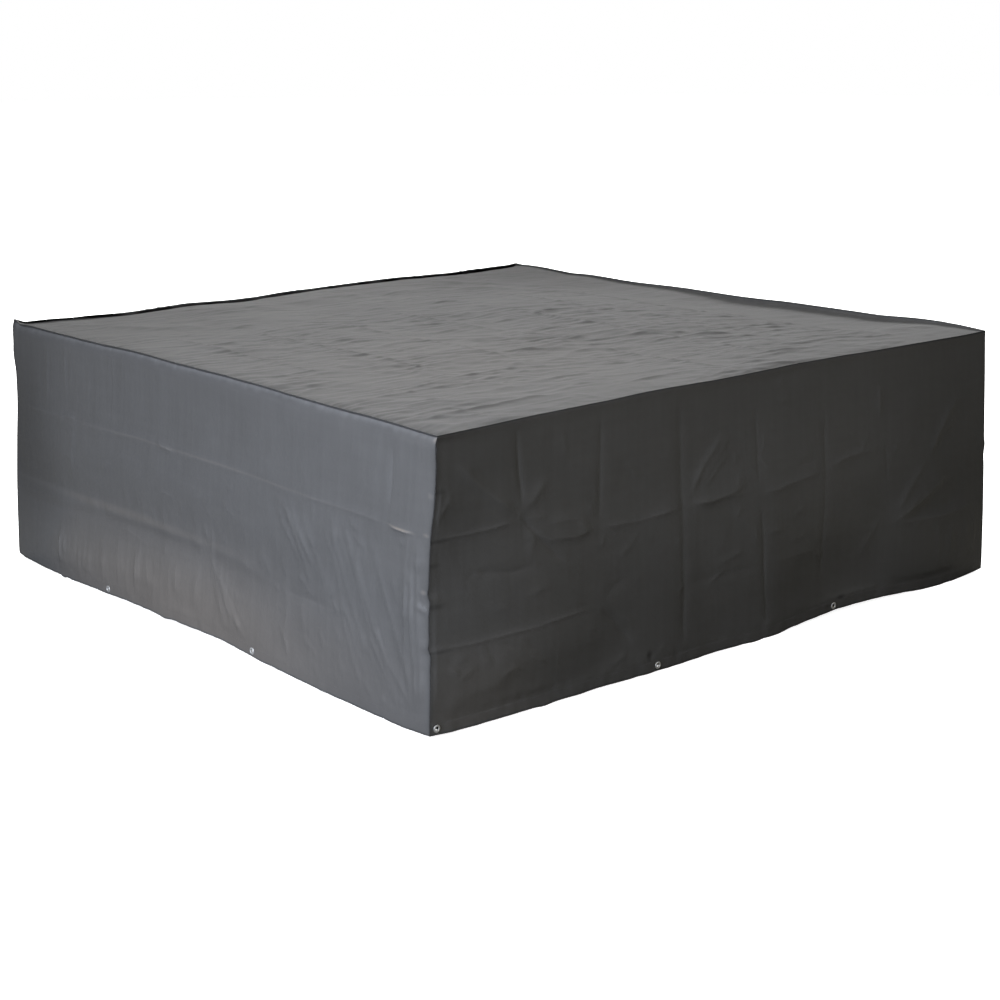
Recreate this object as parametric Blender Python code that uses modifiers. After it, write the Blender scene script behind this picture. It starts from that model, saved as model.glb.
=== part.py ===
"""A fitted cover for low patio furniture: a square box of woven sheet with a top, four side sheets,
a folded hem band below each side, and twelve metal eyelets through the hem.

Metres, +Z up. The origin is the middle of the top sheet's underside, where the furniture carries it.
The front faces -Y. A side is read from outside: u runs to the right from its left corner, and depth
runs down from the rim. The top is read from above: u runs right from the left rim, v from the back
rim towards the front.
"""

import math
from collections import namedtuple

import bmesh
import bpy
from mathutils import Vector

# ---------------------------------------------------------------- driving sizes
SPAN = 2.000           # each side of the square top
HEIGHT = 0.700         # from the rim down to the hem's edge
CLOTH = 0.002          # thickness of a sheet
SEAM_GAP = 0.0005      # between two sheets that are sewn edge to edge
RIM_GAP = 0.0010       # between the top sheet and the side sheets' upper edges
HEM_BAND = 0.030       # height of the folded hem
RIDGE_WIDTH = 0.012    # seam allowance standing up along the rim
RIDGE_HEIGHT = 0.003
COLUMN_STEP = 0.100    # the rim and the hem run straight between columns
CORNER_STEP = 0.040    # one more column this near to each corner
EDGE_FADE = 0.020      # folds fade out this near to a seam
CREASE_TAPER = 0.040   # and this near to their own ends
CUT_SNAP = 0.004       # a cut keeps to the corners of the sheet's faces that are this near
PUCKER_REACH = 0.250   # how far a corner's puckers pull the side sheets

EYELET_OUTER = 0.0190  # across the metal flange
EYELET_BORE = 0.0096
EYELET_BARREL = 0.0110
EYELET_PLATE = 0.0010  # thickness of each flange
EYELET_CHAMFER = 0.0005
EYELET_RISE = 0.0145   # centre above the hem's edge
EYELET_STEPS = 10
METAL_GAP = 0.0003     # between the flanges and the cloth
HOLE = 0.0118          # hole punched in the hem
PUNCH_LENGTH = 0.016
PAD = 0.013            # half the width of the hem's flat place behind an eyelet
PAD_CLEAR = 0.0195     # the even columns keep this far from an eyelet

BAND_TOP = HEIGHT - HEM_BAND
HALF = SPAN / 2

# ---------------------------------------------------------------- corners
# Each corner's place against the true square: at the rim, and at the hem, where the cover flares.
# The tip is a pinched ear of seam that stands up at the corner, one corner step long.
Corner = namedtuple("Corner", "rim_x rim_y rim_rise tip hem_x hem_y hem_rise")
CORNERS = {
    "near": Corner(-0.008, -0.007, 0.000, 0.000, -0.036, 0.002, 0.001),
    "right": Corner(0.016, 0.005, 0.003, 0.000, 0.020, -0.025, 0.000),
    "back": Corner(-0.010, 0.015, 0.005, 0.003, 0.023, 0.021, -0.002),
    "left": Corner(0.000, 0.000, 0.012, 0.010, -0.026, 0.018, 0.004),
}

# The puckers of each corner seam: how far it strays from the straight line between rim and hem.
Pucker = namedtuple("Pucker", "depth x y")
PUCKERS = {
    "near": (
        Pucker(0.018, -0.003, 0.002),
        Pucker(0.080, -0.001, 0.001),
        Pucker(0.150, -0.002, 0.002),
        Pucker(0.235, -0.007, 0.006),
        Pucker(0.360, -0.010, 0.009),
        Pucker(0.382, -0.004, 0.003),
        Pucker(0.490, -0.008, 0.007),
        Pucker(0.510, -0.002, 0.001),
    ),
    "right": (
        Pucker(0.150, 0.001, -0.001),
        Pucker(0.490, 0.002, -0.001),
    ),
    "back": (
        Pucker(0.150, -0.003, 0.002),
        Pucker(0.360, 0.005, 0.004),
        Pucker(0.490, -0.002, -0.003),
    ),
    "left": (
        Pucker(0.018, -0.003, 0.003),
        Pucker(0.080, -0.002, 0.002),
        Pucker(0.150, 0.002, -0.002),
        Pucker(0.235, 0.004, -0.003),
        Pucker(0.360, 0.001, -0.001),
        Pucker(0.510, -0.001, 0.001),
    ),
}

# Rows of every side sheet, from the rim down. Each sheet also has a row at its corners' puckers.
ROWS = (0.080, 0.235, 0.300, 0.360, 0.490, 0.590)

# ---------------------------------------------------------------- rims and hems
# rise is above the level rim or hem, bow is outwards from the line between the corners.
Side = namedtuple("Side", "name left_corner right_corner quarter_turns eyelets")
SIDES = (
    Side("front", "near", "right", 0, (0.020, 0.700, 1.365)),
    Side("right", "right", "back", 1, (0.020, 0.690, 1.360)),
    Side("back", "back", "left", 2, (0.020, 0.680, 1.340, 1.976)),
    Side("left", "left", "near", 3, (0.544, 1.273)),
)

Run = namedtuple("Run", "u rim_rise rim_bow hem_rise hem_bow")
RUNS = {
    "front": (
        Run(0.10, 0.001, -0.002, -0.004, 0.002),
        Run(0.30, 0.004, -0.006, -0.005, 0.005),
        Run(0.50, 0.005, -0.008, -0.004, 0.006),
        Run(0.70, 0.008, -0.009, -0.006, 0.008),
        Run(0.90, 0.005, -0.010, -0.005, 0.004),
        Run(1.10, 0.006, -0.010, -0.007, 0.008),
        Run(1.20, 0.008, -0.009, -0.002, 0.002),
        Run(1.40, 0.006, -0.008, 0.006, -0.006),
        Run(1.50, 0.004, -0.007, 0.005, -0.005),
        Run(1.60, 0.003, -0.006, 0.001, 0.000),
        Run(1.80, 0.002, -0.003, -0.008, 0.008),
        Run(1.90, 0.001, -0.002, -0.006, 0.006),
    ),
    "right": (
        Run(0.10, 0.009, 0.004, -0.003, 0.006),
        Run(0.20, 0.011, 0.006, -0.005, 0.010),
        Run(0.40, 0.005, 0.003, -0.002, -0.004),
        Run(0.70, 0.007, -0.004, 0.003, -0.008),
        Run(0.90, 0.004, -0.008, -0.004, 0.005),
        Run(1.20, 0.006, -0.010, -0.006, 0.012),
        Run(1.40, 0.002, -0.008, 0.002, 0.001),
        Run(1.60, 0.005, -0.004, 0.004, -0.006),
        Run(1.70, 0.002, -0.003, -0.003, 0.004),
        Run(1.90, 0.008, 0.000, -0.002, 0.003),
    ),
    "back": (
        Run(0.10, 0.005, -0.002, -0.003, 0.003),
        Run(0.30, 0.003, -0.006, -0.006, 0.009),
        Run(0.60, 0.010, -0.009, 0.002, -0.003),
        Run(1.00, 0.008, -0.012, -0.004, 0.006),
        Run(1.20, 0.002, -0.010, -0.007, 0.012),
        Run(1.40, 0.008, -0.007, 0.003, -0.002),
        Run(1.60, 0.003, -0.005, 0.001, 0.004),
        Run(1.90, 0.009, -0.001, -0.003, 0.002),
        Run(1.96, 0.010, 0.000, -0.002, 0.001),
    ),
    "left": (
        Run(0.04, 0.013, 0.000, -0.002, 0.001),
        Run(0.10, 0.015, -0.001, -0.003, 0.002),
        Run(0.30, 0.013, -0.003, -0.005, 0.004),
        Run(0.50, 0.013, -0.006, -0.001, 0.002),
        Run(0.70, 0.016, -0.008, 0.003, -0.002),
        Run(0.90, 0.012, -0.009, 0.004, -0.004),
        Run(1.10, 0.012, -0.009, 0.007, -0.006),
        Run(1.30, 0.010, -0.008, 0.002, 0.000),
        Run(1.50, 0.006, -0.006, -0.002, 0.004),
        Run(1.70, 0.005, -0.004, -0.003, 0.005),
        Run(1.90, 0.002, -0.002, -0.004, 0.003),
    ),
}

# ---------------------------------------------------------------- folds
# A crease is a straight ridge (height above 0) or trough (below 0) with a tent-shaped section.
Crease = namedtuple("Crease", "u0 v0 u1 v1 half_width height")
CREASES = {
    "top": (
        # packing folds that run from front to back
        Crease(0.20, 0.56, 0.20, 1.32, 0.018, -0.0025),
        Crease(0.43, 0.60, 0.44, 1.42, 0.018, -0.0025),
        Crease(0.70, 0.56, 0.70, 1.46, 0.018, -0.0025),
        Crease(0.97, 0.58, 0.98, 1.12, 0.020, -0.0030),
        Crease(0.99, 1.46, 1.00, 1.92, 0.018, -0.0025),
        Crease(1.24, 0.64, 1.25, 1.34, 0.020, -0.0035),
        Crease(1.49, 0.58, 1.48, 0.92, 0.020, -0.0035),
        Crease(1.49, 1.12, 1.49, 1.37, 0.018, -0.0025),
        Crease(1.71, 0.58, 1.73, 1.92, 0.020, -0.0035),
        # packing folds that run across
        Crease(0.68, 0.50, 0.90, 0.49, 0.020, -0.0040),
        Crease(0.44, 0.90, 0.64, 0.93, 0.016, -0.0040),
        Crease(1.02, 0.93, 1.22, 0.95, 0.020, -0.0030),
        Crease(1.26, 0.90, 1.44, 0.93, 0.018, -0.0035),
        Crease(0.04, 1.60, 0.46, 1.63, 0.018, 0.0030),
        Crease(0.06, 1.86, 0.46, 1.86, 0.018, -0.0035),
        Crease(1.12, 1.85, 1.42, 1.875, 0.018, -0.0035),
        # slanting pulls
        Crease(0.70, 0.98, 0.96, 1.18, 0.024, 0.0040),
        Crease(0.92, 1.14, 1.12, 1.30, 0.022, -0.0040),
        Crease(0.76, 1.39, 1.12, 1.33, 0.022, 0.0045),
        Crease(1.22, 1.40, 1.44, 1.60, 0.022, -0.0050),
        # soft waves behind the middle
        Crease(0.66, 0.21, 1.22, 0.24, 0.060, -0.0050),
        Crease(1.16, 0.27, 1.66, 0.43, 0.060, -0.0055),
        Crease(1.46, 0.15, 1.66, 0.31, 0.050, -0.0050),
        Crease(1.80, 0.30, 1.82, 1.80, 0.070, -0.0060),
    ),
    "front": (
        # packing folds, upright
        Crease(0.235, 0.02, 0.255, 0.22, 0.014, -0.0030),
        Crease(0.500, 0.03, 0.500, 0.30, 0.014, -0.0025),
        Crease(0.765, 0.03, 0.790, 0.66, 0.016, -0.0030),
        Crease(1.040, 0.08, 1.050, 0.31, 0.014, -0.0025),
        Crease(1.055, 0.34, 1.090, 0.66, 0.016, -0.0030),
        Crease(1.530, 0.08, 1.550, 0.38, 0.014, 0.0020),
        # packing folds, level
        Crease(0.020, 0.245, 0.240, 0.245, 0.014, -0.0030),
        Crease(0.500, 0.300, 0.775, 0.302, 0.014, 0.0025),
        Crease(1.050, 0.310, 1.520, 0.280, 0.014, 0.0025),
        Crease(0.020, 0.500, 0.480, 0.497, 0.014, -0.0020),
        Crease(1.590, 0.492, 1.970, 0.494, 0.014, 0.0035),
        # slanting pulls
        Crease(0.045, 0.070, 0.245, 0.228, 0.018, 0.0040),
        Crease(0.235, 0.220, 0.400, 0.378, 0.018, -0.0035),
        Crease(0.255, 0.262, 0.505, 0.285, 0.024, 0.0050),
        Crease(0.795, 0.290, 0.945, 0.120, 0.018, 0.0035),
        Crease(0.805, 0.292, 1.040, 0.262, 0.024, 0.0045),
        Crease(1.575, 0.492, 1.890, 0.160, 0.034, 0.0070),
        Crease(1.575, 0.495, 1.830, 0.395, 0.026, 0.0045),
        Crease(0.495, 0.495, 0.630, 0.625, 0.018, -0.0030),
    ),
    "left": (
        # packing folds, level
        Crease(0.060, 0.232, 1.230, 0.231, 0.014, 0.0028),
        Crease(1.380, 0.230, 1.960, 0.234, 0.014, 0.0040),
        Crease(0.020, 0.492, 0.520, 0.466, 0.022, 0.0040),
        Crease(0.480, 0.466, 1.340, 0.470, 0.020, 0.0035),
        # packing folds, upright
        Crease(0.285, 0.520, 0.287, 0.660, 0.016, 0.0050),
        Crease(1.065, 0.420, 1.070, 0.650, 0.014, 0.0025),
        Crease(1.436, 0.240, 1.436, 0.620, 0.016, 0.0025),
        Crease(1.836, 0.040, 1.836, 0.220, 0.014, -0.0025),
        # slanting pulls towards the near corner and the hem
        Crease(1.070, 0.480, 1.230, 0.650, 0.020, 0.0040),
        Crease(1.350, 0.250, 1.560, 0.470, 0.024, 0.0040),
        Crease(1.700, 0.300, 1.960, 0.650, 0.026, 0.0045),
        Crease(0.680, 0.520, 0.760, 0.655, 0.020, 0.0030),
    ),
    "right": (
        Crease(0.250, 0.030, 0.250, 0.480, 0.014, -0.0025),
        Crease(0.750, 0.060, 0.755, 0.640, 0.014, -0.0030),
        Crease(1.250, 0.100, 1.245, 0.460, 0.014, 0.0025),
        Crease(1.750, 0.040, 1.745, 0.600, 0.014, -0.0025),
        Crease(0.060, 0.235, 1.200, 0.240, 0.014, 0.0030),
        Crease(0.700, 0.490, 1.900, 0.486, 0.014, 0.0025),
        Crease(0.050, 0.080, 0.330, 0.420, 0.024, 0.0045),
        Crease(1.420, 0.300, 1.900, 0.080, 0.026, 0.0045),
    ),
    "back": (
        Crease(0.250, 0.080, 0.255, 0.600, 0.014, -0.0025),
        Crease(0.500, 0.030, 0.500, 0.300, 0.014, 0.0025),
        Crease(1.000, 0.060, 1.005, 0.640, 0.014, -0.0030),
        Crease(1.500, 0.040, 1.495, 0.470, 0.014, -0.0025),
        Crease(0.080, 0.240, 0.980, 0.236, 0.014, 0.0028),
        Crease(0.560, 0.488, 1.700, 0.494, 0.014, 0.0028),
        Crease(1.240, 0.420, 1.620, 0.120, 0.026, 0.0050),
        Crease(1.700, 0.060, 1.950, 0.330, 0.022, 0.0040),
    ),
}

# A swell is a broad soft hump (height above 0) or hollow (below 0).
Swell = namedtuple("Swell", "u v reach_u reach_v height")
SWELLS = {
    "top": (
        Swell(0.12, 0.12, 0.30, 0.30, -0.004),
        Swell(0.50, 0.30, 0.45, 0.35, 0.004),
        Swell(0.55, 1.20, 0.40, 0.45, 0.003),
        Swell(1.00, 0.75, 0.45, 0.40, -0.004),
        Swell(1.45, 1.25, 0.50, 0.45, 0.004),
        Swell(1.40, 0.70, 0.40, 0.35, 0.003),
        Swell(1.84, 0.85, 0.16, 0.95, -0.007),
        Swell(0.95, 1.70, 0.80, 0.25, -0.003),
    ),
    "front": (
        Swell(0.28, 0.46, 0.40, 0.26, 0.008),
        Swell(0.90, 0.45, 0.45, 0.25, 0.006),
        Swell(1.40, 0.22, 0.40, 0.22, -0.006),
        Swell(1.74, 0.56, 0.30, 0.16, 0.008),
        Swell(1.40, 0.58, 0.25, 0.14, -0.006),
    ),
    "left": (
        Swell(0.70, 0.11, 0.90, 0.16, -0.005),
        Swell(0.80, 0.35, 0.95, 0.15, 0.007),
        Swell(0.70, 0.58, 0.80, 0.13, 0.005),
        Swell(1.62, 0.44, 0.40, 0.26, 0.007),
    ),
    "right": (
        Swell(0.45, 0.36, 0.45, 0.26, 0.009),
        Swell(1.15, 0.30, 0.45, 0.28, -0.007),
        Swell(1.60, 0.48, 0.38, 0.22, 0.008),
    ),
    "back": (
        Swell(0.40, 0.42, 0.42, 0.28, 0.008),
        Swell(1.05, 0.26, 0.50, 0.24, -0.007),
        Swell(1.55, 0.46, 0.42, 0.24, 0.009),
    ),
}

# ---------------------------------------------------------------- finishes
Finish = namedtuple("Finish", "colour roughness metallic")
COATED_WEAVE = Finish((0.105, 0.106, 0.110, 1.0), 0.55, 0.0)
HEM_WEAVE = Finish((0.090, 0.091, 0.094, 1.0), 0.58, 0.0)
EYELET_METAL = Finish((0.72, 0.72, 0.70, 1.0), 0.28, 1.0)


# ================================================================ small helpers
def mix(first, last, share):
    return first * (1 - share) + last * share


def straight(stations, value, u):
    """value(station) at the stations on both sides of u, joined by a straight line."""
    for left, right in zip(stations, stations[1:]):
        if u <= right:
            break
    return mix(value(left), value(right), (u - left) / (right - left))


def ramp(distance, length):
    return max(0.0, min(distance / length, 1.0))


def edge_distance(u, v, width, height):
    return min(u, width - u, v, height - v)


def columns():
    inner = [step * COLUMN_STEP for step in range(1, round(SPAN / COLUMN_STEP))]
    return [0.0, CORNER_STEP, *inner, SPAN - CORNER_STEP, SPAN]


def side_columns(side):
    """The shared columns, with two more at each eyelet, where the hem lies flat."""
    pads = [u + edge for u in side.eyelets for edge in (-PAD, PAD)]
    clear = [u for u in columns() if all(abs(u - eyelet) > PAD_CLEAR for eyelet in side.eyelets)]
    return sorted({0.0, SPAN, *pads, *clear})


# ================================================================ the cover's shape
def directions(side):
    """Unit vectors along the side, to the right as seen from outside, and outwards."""
    turn = side.quarter_turns * math.pi / 2
    along = Vector((math.cos(turn), math.sin(turn)))
    return along, Vector((along.y, -along.x))


def pucker(name, depth):
    rows = (Pucker(0.0, 0.0, 0.0), *PUCKERS[name], Pucker(BAND_TOP, 0.0, 0.0))
    rows = {row.depth: Vector((row.x, row.y)) for row in rows}
    return straight(list(rows), rows.get, min(depth, BAND_TOP))


def tip_rise(name, distance):
    return CORNERS[name].tip * ramp(CORNER_STEP - distance, CORNER_STEP)


def lean(name, share):
    corner = CORNERS[name]
    rim = Vector((corner.rim_x, corner.rim_y))
    return mix(rim, Vector((corner.hem_x, corner.hem_y)), share)


def run_value(side, field, u):
    """One column of the side's table of runs, straight between its rows."""
    left, right = CORNERS[side.left_corner], CORNERS[side.right_corner]
    rows = {0.0: getattr(left, field, 0.0), SPAN: getattr(right, field, 0.0)}
    rows.update({row.u: getattr(row, field) for row in RUNS[side.name]})
    stations = sorted(rows)
    return straight(stations, rows.get, u)


def on_columns(side, field, u):
    return straight(columns(), lambda station: run_value(side, field, station), u)


def hem_outward(side, u):
    """How far outside the true square the hem hangs: flat behind each eyelet."""
    def value(station):
        near = [eyelet for eyelet in side.eyelets if abs(eyelet - station) < PAD_CLEAR]
        place = near[0] if near else station
        outward = directions(side)[1]
        left = lean(side.left_corner, 1.0).dot(outward)
        right = lean(side.right_corner, 1.0).dot(outward)
        return mix(left, right, place / SPAN) + run_value(side, "hem_bow", place)
    return straight(side_columns(side), value, u)


def side_point(side, u, depth):
    """A point of the side's outer face, without its folds and tips."""
    along, outward = directions(side)
    share = ramp(depth, BAND_TOP)
    left, right = side.left_corner, side.right_corner
    across = u / SPAN
    left_pull = ramp(PUCKER_REACH - u, PUCKER_REACH)
    right_pull = ramp(PUCKER_REACH - (SPAN - u), PUCKER_REACH)
    pull = pucker(left, depth) * left_pull + pucker(right, depth) * right_pull
    shift = mix(lean(left, share), lean(right, share), across).dot(along) + pull.dot(along)
    rim_outward = mix(lean(left, 0.0), lean(right, 0.0), across).dot(outward)
    rim_outward += on_columns(side, "rim_bow", u)
    reach = mix(rim_outward, hem_outward(side, u), share) + pull.dot(outward)
    rise = mix(on_columns(side, "rim_rise", u), on_columns(side, "hem_rise", u), share)
    place = along * (u - HALF + shift) + outward * (HALF + reach)
    return Vector((place.x, place.y, rise - depth))


def top_point(u, v):
    """A point of the top's outer face, without folds and tips: it hangs between its four rims."""
    front, right, back, left = SIDES
    p, q = u / SPAN, v / SPAN
    across = mix(side_point(back, SPAN - u, 0.0), side_point(front, u, 0.0), q)
    along = mix(side_point(left, v, 0.0), side_point(right, SPAN - v, 0.0), p)
    at_back = mix(side_point(left, 0.0, 0.0), side_point(right, SPAN, 0.0), p)
    at_front = mix(side_point(left, SPAN, 0.0), side_point(right, 0.0, 0.0), p)
    return across + along - mix(at_back, at_front, q)


def crease_height(crease, u, v):
    length = math.hypot(crease.u1 - crease.u0, crease.v1 - crease.v0)
    du, dv = (crease.u1 - crease.u0) / length, (crease.v1 - crease.v0) / length
    run = (u - crease.u0) * du + (v - crease.v0) * dv
    off = abs((u - crease.u0) * dv - (v - crease.v0) * du)
    ends = ramp(min(run, length - run), CREASE_TAPER)
    return crease.height * ends * ramp(crease.half_width - off, crease.half_width)


def swell_height(swell, u, v):
    away = ((u - swell.u) / swell.reach_u) ** 2 + ((v - swell.v) / swell.reach_v) ** 2
    return swell.height * max(0.0, 1 - away) ** 2


def folds(name, u, v):
    creases = sum(crease_height(crease, u, v) for crease in CREASES[name])
    return creases + sum(swell_height(swell, u, v) for swell in SWELLS[name])


def top_surface(u, v):
    edge = edge_distance(u, v, SPAN, SPAN)
    relief = folds("top", u, v) * ramp(edge - RIDGE_WIDTH, EDGE_FADE)
    relief -= RIDGE_HEIGHT * ramp(edge, RIDGE_WIDTH)
    relief += tip_rise("left", math.hypot(u, v)) + tip_rise("back", math.hypot(SPAN - u, v))
    return top_point(u, v) + Vector((0.0, 0.0, relief))


def side_surface(side, u, depth):
    edge = edge_distance(u, depth, SPAN, BAND_TOP)
    outward = directions(side)[1] * folds(side.name, u, depth) * ramp(edge, EDGE_FADE)
    tips = tip_rise(side.left_corner, u) + tip_rise(side.right_corner, SPAN - u)
    rise = tips * (1 - ramp(depth, BAND_TOP))
    return side_point(side, u, depth) + Vector((outward.x, outward.y, rise))


# The level that puts the middle of the top's underside at the origin.
LEVEL = Vector((0.0, 0.0, CLOTH - top_surface(HALF, HALF).z))


# ================================================================ building
def finish_material(name, finish):
    material = bpy.data.materials.new(name)
    material.use_nodes = True
    shader = material.node_tree.nodes["Principled BSDF"]
    shader.inputs["Base Color"].default_value = finish.colour
    shader.inputs["Roughness"].default_value = finish.roughness
    shader.inputs["Metallic"].default_value = finish.metallic
    material.diffuse_color = finish.colour
    return material


def new_object(name, mesh, collection, finish):
    mesh.name = name
    item = bpy.data.objects.new(name, mesh)
    collection.objects.link(item)
    if finish:
        item.data.materials.append(finish_material(name + "_finish", finish))
    return item


def lattice(us, vs):
    """A flat sheet over the columns us and rows vs, made as an even grid and then spaced out."""
    sheet = bmesh.new()
    bmesh.ops.create_grid(sheet, x_segments=len(us) - 1, y_segments=len(vs) - 1, size=1.0)
    for point in sheet.verts:
        column = round((point.co.x + 1) / 2 * (len(us) - 1))
        row = round((point.co.y + 1) / 2 * (len(vs) - 1))
        point.co = Vector((us[column], vs[row], 0.0))
    return sheet


def cut_crease(sheet, crease):
    """Cuts the flat sheet along a crease and along both of its shoulders."""
    start = Vector((crease.u0, crease.v0, 0.0))
    run = Vector((crease.u1, crease.v1, 0.0)) - start
    length = run.length
    run.normalize()
    across = Vector((-run.y, run.x, 0.0))
    for shoulder in (-1, 0, 1):
        faces = []
        for face in sheet.faces:
            away = face.calc_center_median() - start
            if -CREASE_TAPER < away.dot(run) < length + CREASE_TAPER:
                if abs(away.dot(across)) < COLUMN_STEP:
                    faces.append(face)
        edges = {edge for face in faces for edge in face.edges}
        points = {point for face in faces for point in face.verts}
        line = start + across * shoulder * crease.half_width
        bmesh.ops.bisect_plane(sheet, geom=faces + list(edges) + list(points), dist=CUT_SNAP,
                               plane_co=line, plane_no=across)


def cloth_sheet(name, us, vs, creases, surface, collection, finish):
    """A sheet of cloth: flat, cut along its creases, laid on its surface and given thickness."""
    sheet = lattice(us, vs)
    for crease in creases:
        cut_crease(sheet, crease)
    bmesh.ops.triangulate(sheet, faces=sheet.faces[:])
    for point in sheet.verts:
        point.co = surface(point.co.x, point.co.y) + LEVEL
    bmesh.ops.reverse_faces(sheet, faces=sheet.faces[:])
    mesh = bpy.data.meshes.new(name)
    sheet.to_mesh(mesh)
    sheet.free()
    mesh.shade_smooth()
    item = new_object(name, mesh, collection, finish)
    thickness = item.modifiers.new("thickness", "SOLIDIFY")
    thickness.thickness = CLOTH
    thickness.offset = -1.0
    thickness.use_even_offset = True
    thickness.use_quality_normals = True
    return item


def top_sheet(collection):
    grid = sorted({*columns(), RIDGE_WIDTH, SPAN - RIDGE_WIDTH})
    return cloth_sheet("top_panel", grid, grid, CREASES["top"], top_surface, collection,
                       COATED_WEAVE)


def side_ends(side):
    """The front and back sheets reach the corners, and the other two meet their inner faces."""
    inset = 0.0 if side.quarter_turns % 2 == 0 else CLOTH + SEAM_GAP
    return [inset, *side_columns(side)[1:-1], SPAN - inset]


def side_sheet(side, collection):
    corners = PUCKERS[side.left_corner] + PUCKERS[side.right_corner]
    inner = sorted({*ROWS, *(row.depth for row in corners)})
    rows = [CLOTH + RIM_GAP, *inner, BAND_TOP - SEAM_GAP]
    return cloth_sheet(side.name + "_panel", side_ends(side), rows, CREASES[side.name],
                       lambda u, depth: side_surface(side, u, depth), collection, COATED_WEAVE)


def eyelet_place(side, u):
    """The middle of an eyelet's hole on the hem's outer face, and the way it faces."""
    place = side_point(side, u, HEIGHT) + LEVEL + Vector((0.0, 0.0, EYELET_RISE))
    return place, directions(side)[1].to_3d()


def facing(item, place, outward):
    item.location = place
    item.rotation_euler = outward.to_track_quat("Z", "X").to_euler()


def hem_strip(side, collection, cutters):
    strip = cloth_sheet("hem_" + side.name, side_ends(side), [BAND_TOP, HEIGHT], (),
                        lambda u, depth: side_surface(side, u, depth), collection, HEM_WEAVE)
    for number, u in enumerate(side.eyelets, 1):
        bpy.ops.mesh.primitive_cylinder_add(vertices=EYELET_STEPS, radius=HOLE / 2,
                                            depth=PUNCH_LENGTH)
        punch = bpy.context.object
        punch.name = f"punch_{side.name}_{number}"
        for owner in punch.users_collection:
            owner.objects.unlink(punch)
        cutters.objects.link(punch)
        punch.hide_render = True
        punch.display_type = "WIRE"
        facing(punch, *eyelet_place(side, u))
        hole = strip.modifiers.new(punch.name, "BOOLEAN")
        hole.operation = "DIFFERENCE"
        hole.solver = "EXACT"
        hole.object = punch
    return strip


def eyelet_profile():
    """Half section of an eyelet about Z: two flanges on a barrel, the cloth's outer face at Z 0."""
    bore, barrel, rim = EYELET_BORE / 2, EYELET_BARREL / 2, EYELET_OUTER / 2
    front, back = METAL_GAP, -CLOTH - METAL_GAP
    face, rear = front + EYELET_PLATE, back - EYELET_PLATE
    return (
        (rim, front), (barrel, front), (barrel, back), (rim, back),
        (rim - EYELET_CHAMFER, rear), (bore, rear), (bore, face), (rim - EYELET_CHAMFER, face),
    )


def eyelet_mesh():
    ring = bmesh.new()
    points = [ring.verts.new((radius, 0.0, height)) for radius, height in eyelet_profile()]
    for first, last in zip(points, points[1:] + points[:1]):
        ring.edges.new((first, last))
    mesh = bpy.data.meshes.new("eyelet")
    ring.to_mesh(mesh)
    ring.free()
    mesh.materials.append(finish_material("eyelet_finish", EYELET_METAL))
    return mesh


def eyelet(side, number, u, mesh, collection):
    ring = new_object(f"eyelet_{side.name}_{number}", mesh, collection, None)
    turn = ring.modifiers.new("turn", "SCREW")
    turn.steps = EYELET_STEPS
    turn.render_steps = EYELET_STEPS
    turn.use_merge_vertices = True
    turn.merge_threshold = 0.00001
    turn.use_smooth_shade = False
    facing(ring, *eyelet_place(side, u))
    return ring


def main():
    for item in list(bpy.data.objects):
        bpy.data.objects.remove(item, do_unlink=True)
    cover = bpy.data.collections.new("patio_furniture_cover")
    cutters = bpy.data.collections.new("cutters")
    for collection in (cover, cutters):
        bpy.context.scene.collection.children.link(collection)
    top_sheet(cover)
    metal = eyelet_mesh()
    for side in SIDES:
        side_sheet(side, cover)
        hem_strip(side, cover, cutters)
        for number, u in enumerate(side.eyelets, 1):
            eyelet(side, number, u, metal, cover)


main()
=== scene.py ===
"""Looks of the fitted furniture cover: five creased sheets, seams, turned hem, eyelets and finishes.

Metres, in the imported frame, but for the rows given to table(), which are in millimetres. A side is
read from outside: u runs to the right from its left corner, and depth runs down from the rim. The top
is read from above: u runs right from the left rim, v from the back rim towards the front. The front
faces -Y.
"""

import math
from collections import namedtuple

import bmesh
import bpy
import numpy as np
from mathutils import Matrix, Vector


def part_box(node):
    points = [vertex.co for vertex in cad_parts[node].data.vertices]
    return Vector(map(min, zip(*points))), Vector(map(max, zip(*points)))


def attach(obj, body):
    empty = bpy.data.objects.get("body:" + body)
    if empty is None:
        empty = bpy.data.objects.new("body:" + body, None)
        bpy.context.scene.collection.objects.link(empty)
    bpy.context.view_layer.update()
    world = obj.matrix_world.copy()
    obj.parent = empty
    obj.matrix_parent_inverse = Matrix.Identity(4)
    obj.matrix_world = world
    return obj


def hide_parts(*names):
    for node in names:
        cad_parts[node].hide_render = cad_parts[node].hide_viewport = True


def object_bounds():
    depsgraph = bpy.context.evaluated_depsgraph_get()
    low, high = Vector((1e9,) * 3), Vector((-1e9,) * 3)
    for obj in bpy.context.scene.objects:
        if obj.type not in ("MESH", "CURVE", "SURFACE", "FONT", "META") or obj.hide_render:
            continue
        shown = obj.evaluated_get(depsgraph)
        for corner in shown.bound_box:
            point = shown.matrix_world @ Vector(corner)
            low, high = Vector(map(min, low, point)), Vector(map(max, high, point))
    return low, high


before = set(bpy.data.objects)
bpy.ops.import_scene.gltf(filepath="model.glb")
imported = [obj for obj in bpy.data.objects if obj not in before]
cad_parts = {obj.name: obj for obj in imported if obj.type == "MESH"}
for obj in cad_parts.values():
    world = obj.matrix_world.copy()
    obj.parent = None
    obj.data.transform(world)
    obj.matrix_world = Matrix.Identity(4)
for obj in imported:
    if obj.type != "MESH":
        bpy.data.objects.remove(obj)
CAD_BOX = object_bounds()

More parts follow.
